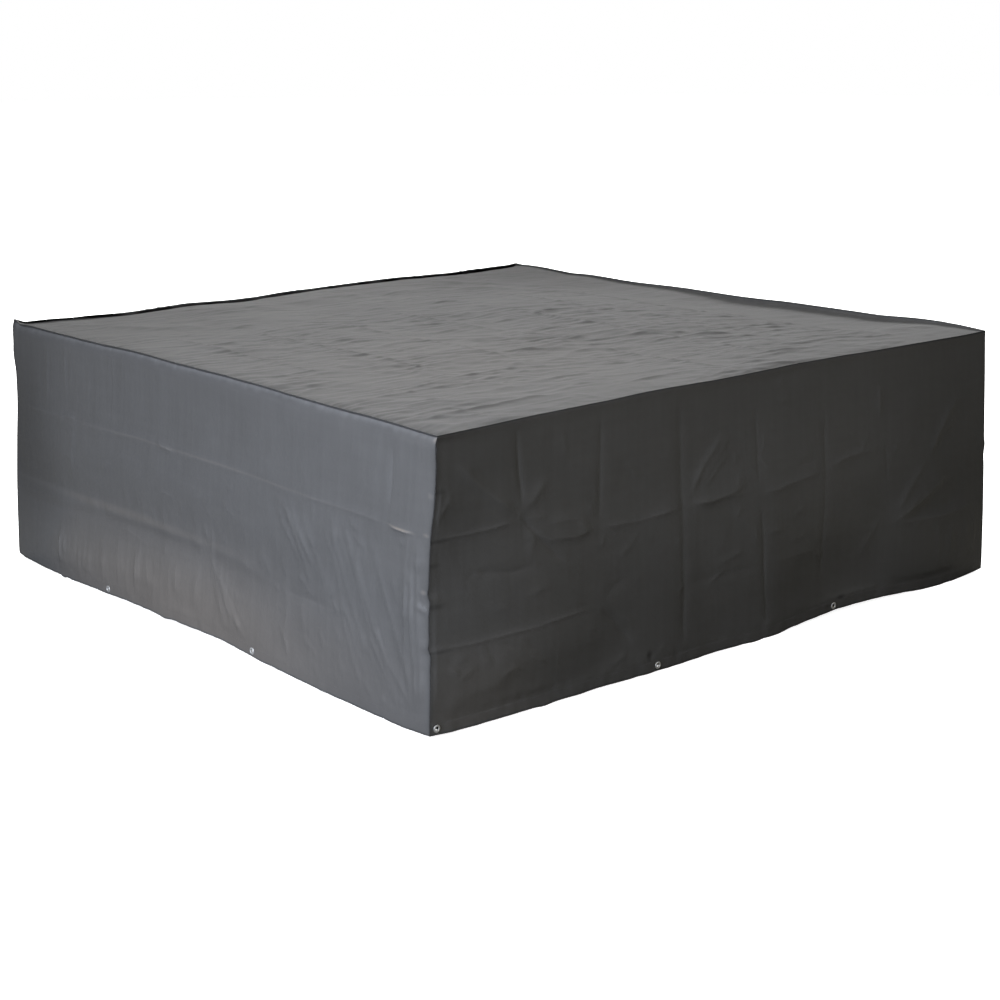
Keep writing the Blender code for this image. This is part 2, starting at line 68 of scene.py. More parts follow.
# ---------------------------------------------------------------- sizes shared with the solids
SPAN = 2.000
HALF = SPAN / 2
HEIGHT = 0.700
CLOTH = 0.002
HEM_BAND = 0.030
BAND_TOP = HEIGHT - HEM_BAND
RIM_LEVEL = -0.0036     # the true square's rim against the origin under the top
CORNER_STEP = 0.040
PUCKER_REACH = 0.220
NICK_REACH = 0.040
EYELET_PAD = 0.013      # the hem is flat this far around an eyelet
EYELET_RUN = 0.6855     # depth of the eyelets' middles

# ---------------------------------------------------------------- sizes of the fine sheets
TOP_COLUMN_STEP = 0.0110    # spacing of the top's columns away from its upright folds
TOP_FINE_STEP = 0.0045      # and beside them
TOP_ROW_STEP = 0.0048
SIDE_STEP = 0.0058
FINE_STEP = 0.0026          # spacing at a crease, seam or eyelet
FINE_REACH = 0.008
FOLD_TURN = 0.0010      # radius of the hem's lower edge
EDGE_FADE = 0.020
EYELET_CUT = 0.0068     # the cloth is cut away this far from an eyelet's middle
EYELET_EASE = 0.020     # and is flat again this far past its pad
END_FADE = 0.060        # gathers and nibs fade over this distance from a corner
STRAIGHT = 0.12         # a fold that strays less than this share of its length counts as straight


def metres(value):
    return tuple(metres(part) for part in value) if isinstance(value, tuple) else value / 1000


def table(kind, sheets, plain=()):
    """Rows written in millimetres, as named rows in metres. Plain columns are no lengths."""
    named = {}
    for name, rows in sheets.items():
        named[name] = []
        for row in rows:
            pairs = zip(kind._fields, row)
            values = [value if field in plain else metres(value) for field, value in pairs]
            named[name].append(kind(*values))
    return named


Corner = namedtuple("Corner", "rim_x rim_y rim_rise tip hem_x hem_y hem_rise")
CORNERS = {
    "near": Corner(-0.008, -0.007, 0.000, 0.000, -0.036, 0.002, 0.001),
    "right": Corner(0.019, 0.004, 0.003, 0.000, 0.023, -0.026, 0.000),
    "back": Corner(-0.010, 0.015, 0.005, 0.003, 0.023, 0.021, -0.002),
    "left": Corner(0.000, 0.000, 0.012, 0.010, -0.026, 0.018, 0.004),
}

# How far each corner's seam strays from the straight line between rim and hem.
Pucker = namedtuple("Pucker", "depth x y")
PUCKERS = table(Pucker, {
    "near": (
        (18, -3, 2), (80, -1, 1), (150, -2, 2), (235, -7, 6), (330, -8, 7), (440, -6, 5), (570, -1, 1),
    ),
    "right": (
        (150, 1, -1), (490, 2, -1),
    ),
    "back": (
        (150, -3, 2), (360, 5, 4), (490, -2, -3),
    ),
    "left": (
        (18, -3, 3), (80, -2, 2), (150, 2, -2), (235, 4, -3), (360, 1, -1), (510, -1, 1),
    ),
})

# Short notches in the same seams.
NICKS = table(Pucker, {
    "near": (
        (335, 0, 0), (362, -1.6, 1.3), (382, 1.9, -1.6), (420, 0, 0), (468, 0, 0), (490, -1.7, 1.4),
        (510, 1.4, -1.1), (545, 0, 0),
    ),
    "right": (
        (300, 0, 0), (330, 1.5, -1.2), (360, -0.8, 0.8), (400, 0, 0),
    ),
    "back": (
        (200, 0, 0), (240, 2.4, 2), (262, -1.8, -1.4), (320, 0, 0),
    ),
    "left": (
        (60, 0, 0), (105, -1.5, 1.2), (160, 0, 0),
    ),
})

Side = namedtuple("Side", "name left_corner right_corner quarter_turns eyelets")
SIDES = (
    Side("front", "near", "right", 0, (0.020, 0.700, 1.365)),
    Side("right", "right", "back", 1, (0.020, 0.690, 1.360)),
    Side("back", "back", "left", 2, (0.020, 0.680, 1.340, 1.976)),
    Side("left", "left", "near", 3, (0.544, 1.273)),
)

# rise is above the level rim or hem, bow is outwards from the line between the corners.
Run = namedtuple("Run", "u rim_rise rim_bow hem_rise hem_bow")
RUNS = table(Run, {
    "front": (
        (100, 1, -2, -4, 2), (300, 4, -6, -5, 5), (500, 5, -8, -4, 6), (700, 8, -9, -6, 8),
        (900, 5, -10, -5, 4), (1100, 6, -10, -7, 8), (1200, 8, -9, -2, 2), (1400, 6, -8, 6, -6),
        (1500, 4, -7, 5, -5), (1600, 3, -6, 1, 0), (1800, 2, -3, -8, 8), (1900, 1, -2, -6, 6),
    ),
    "right": (
        (100, 9, 4, -3, 6), (200, 11, 6, -5, 10), (400, 5, 3, -2, -4), (700, 7, -4, 3, -8),
        (900, 4, -8, -4, 5), (1200, 6, -10, -6, 12), (1400, 2, -8, 2, 1), (1600, 5, -4, 4, -6),
        (1700, 2, -3, -3, 4), (1900, 8, 0, -2, 3),
    ),
    "back": (
        (100, 5, -2, -3, 3), (300, 3, -6, -6, 9), (600, 10, -9, 2, -3), (1000, 8, -12, -4, 6),
        (1200, 2, -10, -7, 12), (1400, 8, -7, 3, -2), (1600, 3, -5, 1, 4), (1900, 9, -1, -3, 2),
        (1960, 10, 0, -2, 1),
    ),
    "left": (
        (40, 13, 0, -2, 1), (100, 15, -1, -3, 2), (300, 13, -3, -5, 4), (500, 13, -6, -1, 2),
        (700, 16, -8, 3, -2), (900, 12, -9, 4, -4), (1100, 12, -9, 7, -6), (1300, 10, -8, 2, 0),
        (1500, 6, -6, -2, 4), (1700, 5, -4, -3, 5), (1900, 2, -2, -4, 3),
    ),
})

# Seam of each rim: the height of the raised allowance, how far the side sheet rolls over towards it
# (above 0) or tucks in below it (below 0), how dark its shadow is on the top and on the side, how far
# the shadow reaches, and how much the roll below it is painted lighter: worn on all rims, and on the
# left rim mostly a painted highlight.
Rim = namedtuple("Rim", "fin roll top_shade side_shade reach rub")
RIMS = {
    "front": Rim(0.0020, -0.0022, 0.60, 0.60, 0.0040, 0.10),
    "right": Rim(0.0040, 0.0020, 0.26, 0.40, 0.0190, 0.20),
    "back": Rim(0.0120, 0.0020, 0.88, 0.40, 0.0150, 0.20),
    "left": Rim(0.0065, 0.0095, 0.30, 0.28, 0.0048, 2.60),
}

# The sewing gathers each rim a little, which leaves it uneven by this height.
Gather = namedtuple("Gather", "height seed")
GATHERS = {
    "front": Gather(0.0005, 81),
    "right": Gather(0.0004, 82),
    "back": Gather(0.0011, 83),
    "left": Gather(0.0009, 84),
}
GATHER_REACH = 0.012

# Places where the turned hem is bunched and hangs lower.
Nib = namedtuple("Nib", "u reach drop")
HEM_NIBS = table(Nib, {
    "front": ((330, 20, 2.5), (1050, 14, 3)),
    "right": ((420, 16, 3), (1620, 24, 2.5)),
    "back": ((300, 18, 3), (1180, 22, 2.5)),
    "left": ((285, 10, 6), (840, 30, 4)),
})
HEM_DROP_REACH = 0.025
HEM_WAVER = 0.0012

# ---------------------------------------------------------------- folds
# A fold follows a path of (u, v) points. Its height is above 0 for a ridge and below 0 for a
# trough, its flanks fall away over the width, and the crest is the radius of its edge, one of the
# three below in metres. Where the skew is over 1, the flank on the left of the path is that much
# broader than the other.
Fold = namedtuple("Fold", "path width height crest skew", defaults=(1.0,))
SHARP = 0.0016
SOFT = 0.0045
ROUND = 0.0140
FOLDS = table(Fold, {
    "top": (
        # packing folds from front to back
        (((206, 555), (211, 915), (206, 1315)), 10, 1.3, SOFT),
        (((436, 595), (441, 1045), (446, 1415)), 10, 1.5, SOFT),
        (((706, 555), (706, 1455)), 10, 1.5, SOFT),
        (((976, 575), (986, 1115)), 12, 2, SOFT),
        (((996, 1455), (1006, 1915)), 10, 1.5, SOFT),
        (((1226, 635), (1241, 735)), 12, 2.1, SOFT),
        (((1256, 795), (1246, 1335)), 12, 2.1, SOFT),
        (((1256, 1635), (1256, 1895)), 10, 1.3, SOFT),
        (((1486, 575), (1486, 895)), 14, 2.1, SOFT),
        (((1496, 1115), (1496, 1355)), 12, 1.8, SOFT),
        (((1716, 575), (1721, 895)), 14, 2.1, SOFT),
        (((1726, 955), (1736, 1915)), 14, 1.6, SOFT),
        # packing folds that run across
        (((206, 515), (251, 535), (306, 520)), 9, 1.8, SOFT),
        (((426, 505), (476, 497), (536, 500)), 9, 2.6, SOFT),
        (((706, 485), (751, 515), (806, 495), (886, 487)), 10, 3, SOFT),
        (((936, 475), (1026, 505)), 14, 2.6, SOFT),
        (((1146, 525), (1226, 535), (1286, 555)), 14, 2.8, SOFT),
        (((1466, 560), (1706, 550)), 10, 1.6, SOFT),
        (((461, 890), (526, 907), (616, 920)), 6, 1.8, SHARP),
        (((646, 900), (726, 900)), 8, 1.6, SOFT),
        (((1046, 930), (1126, 940), (1196, 950)), 12, 2.2, SOFT),
        (((1246, 960), (1286, 900), (1336, 915), (1446, 920)), 10, 2.8, SOFT),
        (((1486, 965), (1526, 995)), 12, 2.2, SOFT),
        (((1666, 940), (1716, 920)), 10, 2.2, SOFT),
        (((36, 1590), (206, 1600), (456, 1625)), 10, 2.2, SOFT),
        (((76, 1850), (226, 1860), (366, 1860), (466, 1850)), 8, 2.8, SOFT),
        (((506, 1855), (626, 1870)), 8, 1.4, SOFT),
        (((666, 1895), (746, 1880), (926, 1875)), 7, 1.6, SHARP),
        (((1136, 1845), (1246, 1855), (1406, 1867)), 9, 3, SOFT),
        # slanting pulls
        (((746, 995), (806, 1055), (866, 1105), (936, 1145)), 14, 2.6, SOFT),
        (((726, 1035), (846, 1165), (946, 1175)), 26, 3, ROUND),
        (((936, 1145), (1016, 1215), (1076, 1275)), 16, 3, SOFT),
        (((726, 1415), (806, 1370), (926, 1355), (1006, 1340)), 13, 2.8, SOFT),
        (((786, 1345), (906, 1325), (1026, 1305), (1126, 1290)), 13, 2.2, SOFT),
        (((1006, 1340), (1126, 1305), (1186, 1325), (1246, 1355)), 15, 3, SOFT),
        (((1166, 1395), (1246, 1405), (1306, 1475), (1376, 1540), (1426, 1575)), 12, 3.6, SOFT),
        (((1246, 1355), (1306, 1395)), 12, 1.6, SOFT),
        (((726, 1395), (806, 1435), (926, 1395)), 14, 1.4, SOFT),
        (((576, 1565), (646, 1525), (706, 1465)), 12, 1.8, SOFT),
        (((506, 1565), (586, 1575)), 9, 2.2, SOFT),
        (((366, 1505), (446, 1495)), 10, 2, SOFT),
        (((1086, 1595), (1206, 1655), (1266, 1695)), 12, 1.8, SOFT),
        (((1286, 1620), (1406, 1625)), 10, 1.4, SOFT),
        (((1646, 1495), (1726, 1450)), 8, 2, SOFT),
        (((1586, 1325), (1706, 1305)), 8, 1.6, SOFT),
        (((1486, 1045), (1556, 1055), (1666, 1125), (1706, 1115)), 20, 2.4, ROUND),
        (((1566, 995), (1666, 1065)), 12, 1.6, SOFT),
        (((706, 915), (766, 955), (866, 965), (956, 945)), 14, 2, SOFT),
        (((766, 775), (866, 795), (946, 845)), 20, 2.4, ROUND),
        (((1026, 755), (1126, 765), (1206, 795)), 14, 2.2, SOFT),
        # soft waves behind the middle
        (((666, 195), (866, 200), (1006, 195), (1146, 225)), 40, 4, ROUND),
        (((1166, 275), (1306, 305), (1426, 375), (1626, 410)), 38, 4.8, ROUND),
        (((1146, 250), (1346, 280), (1526, 345)), 22, 2.4, ROUND),
        (((1486, 155), (1586, 255), (1666, 315)), 34, 4.2, ROUND),
        (((1626, 265), (1706, 195)), 12, 2, SOFT),
        (((1566, 95), (1686, 115)), 30, 3.4, ROUND),
        (((86, 95), (146, 165)), 30, 2.6, ROUND),
        (((146, 215), (226, 275), (266, 355), (406, 415)), 30, 3, ROUND),
        (((26, 375), (126, 425)), 22, 1.8, ROUND),
        # pulls at the right corner
        (((1796, 1765), (1836, 1805), (1896, 1845)), 16, 4.2, SOFT),
        (((1826, 1750), (1886, 1795), (1956, 1865)), 14, 2.6, SOFT),
        (((1806, 1925), (1856, 1940)), 10, 2.6, SOFT),
        (((26, 1865), (106, 1925)), 12, 1.8, SOFT),
    ),
    "front": (
        # packing folds, upright
        (((235, 10), (243, 100), (255, 220)), 8, -2.2, SHARP),
        (((500, 30), (500, 300)), 8, -1.4, SHARP),
        (((765, 30), (775, 300), (790, 660)), 10, -2, SOFT),
        (((1040, 80), (1050, 310)), 8, -1.4, SHARP),
        (((1055, 340), (1070, 500), (1090, 670)), 9, -2, SHARP),
        (((1307, 140), (1305, 620)), 8, -1.2, SHARP),
        (((1530, 80), (1533, 200)), 10, 1.8, SOFT),
        (((1550, 240), (1565, 380)), 8, -1.2, SHARP),
        (((1780, 500), (1785, 660)), 9, 1.2, SOFT),
        # packing folds, level
        (((10, 240), (240, 238)), 5, 1.2, SHARP),
        (((255, 235), (340, 246)), 9, 1.2, SOFT),
        (((500, 302), (640, 308), (775, 302)), 9, 1.6, SHARP),
        (((790, 300), (1050, 300)), 9, 0.8, SOFT),
        (((1050, 312), (1180, 305), (1300, 296)), 9, 1.8, SOFT),
        (((1310, 290), (1400, 276), (1530, 270)), 9, 2, SOFT),
        (((1190, 262), (1280, 266)), 8, -1.2, SOFT),
        (((10, 496), (300, 498), (480, 491)), 5, 0.9, SHARP),
        (((770, 500), (1060, 498)), 10, -0.6, SOFT),
        (((1080, 500), (1300, 505)), 10, 0.6, SOFT),
        (((1590, 492), (1790, 496), (1970, 492)), 12, 2.6, SOFT),
        # slanting pulls from the near corner
        (((50, 70), (100, 112), (243, 225)), 11, 2.6, SOFT),
        (((243, 225), (300, 280), (390, 370)), 7, -3.4, SHARP),
        (((243, 225), (290, 195), (340, 140)), 12, 2, SOFT),
        (((275, 345), (290, 290), (260, 240)), 10, 1.6, SOFT),
        (((10, 210), (30, 170), (55, 130)), 7, 1.1, SOFT),
        (((80, 345), (150, 340), (220, 352), (300, 350)), 8, -1.4, SOFT),
        # the lens between the first two uprights
        (((260, 255), (340, 298), (430, 308), (500, 292)), 10, 2.8, SOFT, 4.0),
        (((300, 262), (400, 262), (480, 272)), 10, 1, SOFT),
        # fan over the third upright
        (((800, 285), (850, 210), (930, 125)), 7, 2.6, SOFT),
        (((835, 270), (885, 212), (955, 132)), 6, 1.4, SOFT),
        (((805, 292), (880, 302), (960, 290), (1025, 262)), 10, 2.4, SOFT, 4.0),
        # the broad pull up to the right corner
        (((1575, 492), (1640, 462), (1740, 425), (1830, 375)), 14, 6, SOFT, 4.0),
        (((1590, 470), (1640, 410), (1700, 355), (1740, 320)), 10, 2.4, SOFT),
        (((1730, 330), (1780, 265), (1830, 210), (1885, 160)), 8, 3, SOFT, 1.6),
        (((1790, 255), (1830, 245), (1865, 215)), 7, 1.8, SOFT),
        (((1640, 475), (1760, 460), (1900, 462)), 20, -2.4, ROUND),
        # pulls below
        (((495, 495), (550, 540), (620, 620)), 10, -2.2, SOFT),
        (((500, 480), (550, 452), (610, 438)), 10, -1.2, SOFT),
        (((660, 648), (675, 662), (700, 688)), 7, -3.4, SHARP),
        (((1450, 580), (1500, 510), (1550, 450)), 12, 1.6, SOFT),
        (((20, 640), (240, 600)), 20, 1.6, ROUND),
        (((960, 350), (1030, 400), (1050, 470)), 16, 1.4, SOFT),
        (((1830, 520), (1840, 660)), 18, 1.8, ROUND),
        (((1900, 520), (1905, 660)), 16, 1.6, ROUND),
    ),
    "left": (
        # packing folds, level
        (((40, 236), (280, 234), (340, 226)), 9, 1.2, SOFT),
        (((300, 230), (370, 228)), 8, 1.8, SHARP),
        (((380, 238), (600, 236), (800, 231)), 9, 1.4, SOFT),
        (((790, 230), (850, 233), (900, 238)), 6, 2.6, SHARP),
        (((900, 236), (1060, 238), (1250, 230)), 9, 1.4, SOFT),
        (((1320, 234), (1480, 238)), 9, 1, SOFT),
        (((1480, 234), (1640, 232), (1820, 235)), 8, 1.8, SHARP),
        (((1825, 235), (1940, 237)), 6, 4, SHARP),
        (((20, 492), (180, 482), (350, 474), (520, 466)), 14, 2.2, ROUND),
        (((500, 466), (800, 462), (1060, 460)), 15, 2.6, ROUND),
        (((1050, 466), (1200, 466), (1360, 472)), 14, 2, ROUND),
        (((20, 508), (300, 492), (640, 486), (1020, 482)), 18, -1.2, ROUND),
        (((1400, 488), (1620, 482)), 12, -1.4, SOFT),
        # packing folds, upright
        (((272, 560), (276, 670)), 7, 3.2, SOFT),
        (((296, 570), (300, 640)), 6, 2, SOFT),
        (((1075, 400), (1078, 470), (1070, 500)), 6, 1.2, SOFT),
        (((1436, 240), (1430, 640)), 7, 0.6, SOFT),
        (((1836, 30), (1836, 225)), 8, -1.4, SHARP),
        (((560, 60), (562, 225)), 8, -0.5, SOFT),
        # slanting pulls towards the near corner and the hem
        (((1070, 480), (1110, 540), (1150, 600), (1230, 660)), 8, 1.5, SOFT),
        (((1350, 250), (1430, 280), (1480, 340), (1520, 390)), 13, 1.4, SOFT),
        (((1560, 370), (1600, 430), (1580, 480)), 16, 2.4, SOFT),
        (((1290, 410), (1340, 440), (1370, 480)), 14, 2, SOFT),
        (((1700, 300), (1740, 380), (1790, 470), (1850, 560), (1950, 650)), 10, 2.2, SOFT),
        (((1610, 245), (1640, 330)), 14, 2, SOFT),
        (((1940, 370), (1955, 500), (1950, 640)), 22, 3, ROUND),
        (((1950, 240), (1960, 330)), 18, 3.4, ROUND),
        (((1440, 500), (1420, 660)), 14, 1.2, SOFT),
        (((580, 510), (640, 500), (760, 520)), 14, 1.4, SOFT),
        (((690, 530), (700, 650)), 12, 2, SOFT),
        (((740, 540), (770, 650)), 12, 2, SOFT),
        (((260, 345), (330, 335), (370, 355)), 14, 1.4, SOFT),
        (((900, 520), (900, 640)), 14, 2, SOFT),
        (((1010, 510), (990, 640)), 14, 1.6, SOFT),
    ),
    "right": (
        (((250, 20), (252, 260), (250, 480)), 9, -1.8, SHARP),
        (((500, 50), (505, 240)), 9, -1, SHARP),
        (((750, 50), (755, 640)), 9, -2, SHARP),
        (((1000, 260), (995, 620)), 9, 1.2, SOFT),
        (((1250, 80), (1245, 470)), 9, 1.6, SOFT),
        (((1500, 40), (1500, 220)), 9, -1.2, SHARP),
        (((1750, 30), (1745, 600)), 9, -1.8, SHARP),
        (((30, 240), (240, 238)), 9, -1.6, SHARP),
        (((255, 236), (750, 240), (1240, 236)), 9, 1.8, SOFT),
        (((1260, 238), (1980, 242)), 9, 1.2, SOFT),
        (((20, 492), (700, 488)), 9, -1, SOFT),
        (((700, 490), (1240, 486), (1960, 490)), 11, 2.2, SOFT),
        (((50, 60), (180, 220), (330, 420)), 16, 3, SOFT),
        (((330, 60), (270, 200), (255, 235)), 12, 2, SOFT),
        (((760, 245), (860, 200), (960, 110)), 12, 2.2, SOFT),
        (((760, 255), (900, 300), (990, 270)), 17, 3, ROUND),
        (((1260, 480), (1380, 360), (1480, 300)), 20, 3.4, ROUND),
        (((1480, 300), (1650, 170), (1900, 70)), 16, 2.8, SOFT),
        (((520, 495), (620, 590), (680, 660)), 12, 2.2, SOFT),
        (((1760, 500), (1840, 580), (1950, 640)), 14, 2.4, SOFT),
        (((1940, 180), (1960, 320), (1955, 460)), 18, 3, ROUND),
        (((60, 520), (200, 560), (400, 600)), 20, 2, ROUND),
    ),
    "back": (
        (((250, 60), (255, 620)), 9, -1.8, SHARP),
        (((500, 30), (500, 300)), 9, 1.4, SOFT),
        (((750, 240), (745, 600)), 9, -1.2, SHARP),
        (((1000, 40), (1005, 640)), 9, -2, SHARP),
        (((1250, 60), (1252, 240)), 9, 1.2, SOFT),
        (((1500, 30), (1495, 480)), 9, -1.8, SHARP),
        (((1750, 250), (1745, 620)), 9, 1.4, SOFT),
        (((40, 242), (500, 238), (980, 236)), 9, 1.8, SOFT),
        (((1010, 240), (1500, 244), (1970, 238)), 9, -1.4, SHARP),
        (((30, 486), (540, 492)), 9, -1.2, SOFT),
        (((560, 490), (1000, 487), (1700, 494)), 11, 2.2, SOFT),
        (((1240, 430), (1400, 290), (1500, 230)), 20, 3.4, ROUND),
        (((1500, 230), (1620, 120), (1720, 40)), 14, 2.4, SOFT),
        (((1700, 50), (1820, 190), (1950, 330)), 14, 2.6, SOFT),
        (((50, 80), (150, 160), (250, 235)), 12, 2.4, SOFT),
        (((255, 240), (340, 320), (400, 380)), 10, -2.2, SOFT),
        (((270, 260), (380, 268), (490, 290)), 18, 2.8, ROUND),
        (((760, 480), (860, 380), (980, 300)), 16, 2.6, SOFT),
        (((1010, 500), (1120, 600), (1180, 660)), 12, 2.2, SOFT),
        (((60, 540), (180, 600), (300, 650)), 14, 2.2, SOFT),
        (((1520, 500), (1600, 600), (1620, 660)), 12, 2, SOFT),
        (((1930, 360), (1950, 500), (1940, 640)), 20, 3.4, ROUND),
    ),
}, plain=("crest", "skew"))

FOLD_FADE = 0.060       # a fold fades out over this distance at its ends
FOLD_UNEVEN = 0.45      # and its height changes along it by this share
DRIFT, FINE_DRIFT = 0.0035, 0.0012      # how far folds stray, broadly and finely
FAN_STRAY = (0.014, 0.030)              # how far the ends of a fan's folds stray
FAN_BEND = 0.006

# A fan is a group of fine folds, spread evenly from the first one's ends to the last one's, each a
# little astray.
Fan = namedtuple("Fan", "first last count width height seed")
FANS = table(Fan, {
    "top": (),
    "front": (
        (((815, 270), (925, 125)), ((860, 275), (955, 160)), 4, 4, 0.7, 1),
        (((12, 80), (30, 220)), ((60, 100), (70, 200)), 3, 5, 0.8, 2),
        (((40, 505), (90, 560)), ((300, 505), (360, 560)), 6, 6, -0.8, 3),
        (((1590, 480), (1720, 380)), ((1640, 485), (1800, 410)), 4, 6, 0.8, 4),
        (((1820, 505), (1825, 660)), ((1960, 505), (1965, 650)), 5, 8, 1, 5),
    ),
    "left": (
        (((240, 545), (235, 680)), ((520, 530), (520, 680)), 13, 6, 1.1, 6),
        (((560, 520), (565, 670)), ((860, 530), (870, 680)), 11, 6, 1, 7),
        (((180, 30), (180, 200)), ((640, 30), (640, 215)), 22, 5, 0.7, 8),
        (((1060, 490), (1110, 665)), ((1110, 490), (1270, 640)), 7, 7, 1.3, 9),
        (((1360, 245), (1500, 420)), ((1490, 250), (1640, 430)), 6, 6, 0.9, 10),
        (((1570, 270), (1740, 560)), ((1780, 250), (1965, 610)), 9, 6, 0.9, 11),
        (((1640, 480), (1760, 670)), ((1860, 460), (1975, 670)), 7, 6, 0.8, 12),
        (((1880, 250), (1925, 650)), ((1965, 245), (1980, 660)), 5, 8, 1.8, 13),
        (((240, 240), (200, 440)), ((420, 250), (380, 440)), 6, 9, 0.6, 14),
        (((620, 380), (640, 455)), ((1040, 380), (1060, 450)), 12, 6, 0.8, 15),
    ),
    "right": (
        (((760, 260), (880, 470)), ((960, 260), (1080, 470)), 7, 7, 1.1, 16),
        (((1270, 510), (1320, 670)), ((1600, 500), (1640, 670)), 10, 6, 1, 17),
        (((40, 260), (80, 640)), ((110, 250), (180, 640)), 5, 8, 1.4, 18),
    ),
    "back": (
        (((520, 260), (660, 470)), ((700, 250), (900, 470)), 8, 7, 1.1, 19),
        (((1030, 510), (1060, 670)), ((1460, 500), (1480, 670)), 12, 6, 1, 20),
        (((1860, 260), (1900, 640)), ((1950, 250), (1970, 640)), 5, 8, 1.4, 21),
    ),
}, plain=("count", "seed"))

# A swell is a broad soft hump (height above 0) or hollow (below 0).
Swell = namedtuple("Swell", "u v reach_u reach_v height")
SWELLS = table(Swell, {
    "top": (
        (120, 120, 300, 300, -4),
        (500, 300, 450, 350, 4),
        (550, 1200, 400, 450, 3),
        (1000, 750, 450, 400, -4),
        (1450, 1250, 500, 450, 4),
        (1400, 700, 400, 350, 3),
        (1840, 1100, 200, 1000, -8),
        (950, 1700, 800, 250, -3),
    ),
    "front": (
        (280, 460, 400, 260, 8),
        (900, 450, 450, 250, 6),
        (1400, 360, 700, 340, 10),
        (1740, 560, 300, 160, 8),
        (1400, 580, 250, 140, -6),
        (270, 570, 320, 110, 6),
    ),
    "left": (
        (700, 110, 900, 160, -5),
        (800, 350, 950, 150, 7),
        (600, 470, 1100, 170, -9),
        (1620, 440, 400, 260, 7),
    ),
    "right": (
        (450, 360, 450, 260, 9),
        (1150, 300, 450, 280, -7),
        (1600, 480, 380, 220, 8),
    ),
    "back": (
        (400, 420, 420, 280, 8),
        (1050, 260, 500, 240, -7),
        (1550, 460, 420, 240, 9),
    ),
})

# A scatter of short wrinkles between two corners of a sheet: how many, the angle that they run
# along and how far they turn from it, and their length, width and height.
Scatter = namedtuple("Scatter", "count low high angle turn length width height seed")
SCATTERS = table(Scatter, {
    "top": (
        (16, (100, 1340), (1800, 1950), 4, 12, 260, 12, 1.1, 31),
        (12, (100, 700), (750, 1400), 8, 14, 200, 12, 0.9, 32),
        (16, (700, 620), (1700, 1400), 14, 18, 220, 12, 0.9, 33),
        (10, (700, 1000), (1500, 1700), 38, 10, 180, 12, 0.8, 34),
        (8, (600, 100), (1700, 520), 18, 12, 260, 16, 1.2, 37),
    ),
    "front": (
        (16, (20, 280), (500, 660), 15, 24, 70, 5, 0.9, 41),
        (16, (500, 300), (1100, 660), -30, 30, 70, 5, 0.8, 42),
        (14, (1100, 250), (1950, 660), -30, 30, 80, 5, 0.9, 43),
        (12, (250, 20), (1300, 260), 60, 30, 70, 5, 0.7, 44),
    ),
    "left": (
        (16, (50, 260), (1050, 460), 165, 18, 120, 7, 0.8, 51),
        (26, (1050, 260), (1600, 660), 55, 22, 70, 5, 0.9, 52),
        (34, (1500, 260), (1980, 660), 62, 16, 60, 5, 1.2, 53),
        (12, (50, 500), (1000, 660), 85, 12, 70, 6, 0.8, 54),
        (8, (1250, 30), (1980, 210), 80, 14, 80, 6, 0.6, 55),
    ),
    "right": (
        (14, (50, 260), (1000, 660), 20, 25, 120, 7, 0.9, 61),
        (14, (1000, 260), (1950, 660), -35, 25, 100, 7, 0.9, 62),
        (8, (200, 20), (1800, 220), 80, 20, 80, 6, 0.6, 63),
    ),
    "back": (
        (14, (50, 260), (1000, 660), -25, 25, 120, 7, 0.9, 71),
        (14, (1000, 260), (1950, 660), 40, 25, 100, 7, 0.9, 72),
        (8, (200, 20), (1800, 220), 80, 20, 80, 6, 0.6, 73),
    ),
}, plain=("count", "angle", "turn", "seed"))

# Unevenness over a whole sheet: the angle it runs along, its length and spacing, how high it is,
# the share of the sheet it covers, and how sharp it is: 0 for soft waves, more for thin ridges.
Wave = namedtuple("Wave", "angle length spacing height cover sharp seed")
WAVES = table(Wave, {
    "top": (
        (5, 260, 56, 2.8, 0.7, 2.6, 11),
        (14, 140, 36, 2, 0.6, 2.6, 12),
        (36, 150, 50, 1.7, 0.25, 2.4, 13),
        (-30, 120, 52, 1.5, 0.1, 2.2, 15),
        (20, 90, 55, 1.2, 0.6, 0, 16),
        (40, 500, 150, 2, 1.0, 0, 14),
    ),
    "front": (
        (20, 260, 110, 1.4, 0.8, 0, 21),
        (75, 200, 60, 0.4, 0.7, 0, 22),
    ),
    "left": (
        (88, 300, 30, 0.3, 0.7, 0, 31),
        (15, 300, 120, 1.4, 0.8, 0, 32),
        (65, 220, 50, 0.6, 0.5, 0, 33),
    ),
    "right": (
        (20, 260, 110, 1.4, 0.8, 0, 41),
        (75, 200, 60, 0.5, 0.7, 0, 42),
    ),
    "back": (
        (-18, 260, 110, 1.4, 0.8, 0, 51),
        (80, 200, 60, 0.5, 0.7, 0, 52),
    ),
}, plain=("angle", "cover", "sharp", "seed"))


# The top's fine wrinkles fade by this share: along u towards the right rim, and along v up to where
# the back half ends.
Calm = namedtuple("Calm", "share start run")
CALM_RIM = Calm(0.85, 1.68, 0.14)
CALM_BACK = Calm(0.55, 0.40, 0.40)


# ================================================================ small helpers
def mix(first, last, share):
    return first * (1 - share) + last * share


def ramp(distance, length):
    return np.clip(distance / length, 0.0, 1.0)


def ease(share):
    return share * share * (3 - 2 * share)


def bell(distance, reach):
    return np.exp(-(distance / reach) ** 2)


def hump(row, u, v):
    """A soft round hump, 1 in the middle of the row's place and 0 at its reach."""
    away = ((u - row.u) / row.reach_u) ** 2 + ((v - row.v) / row.reach_v) ** 2
    return np.maximum(0.0, 1 - away) ** 2


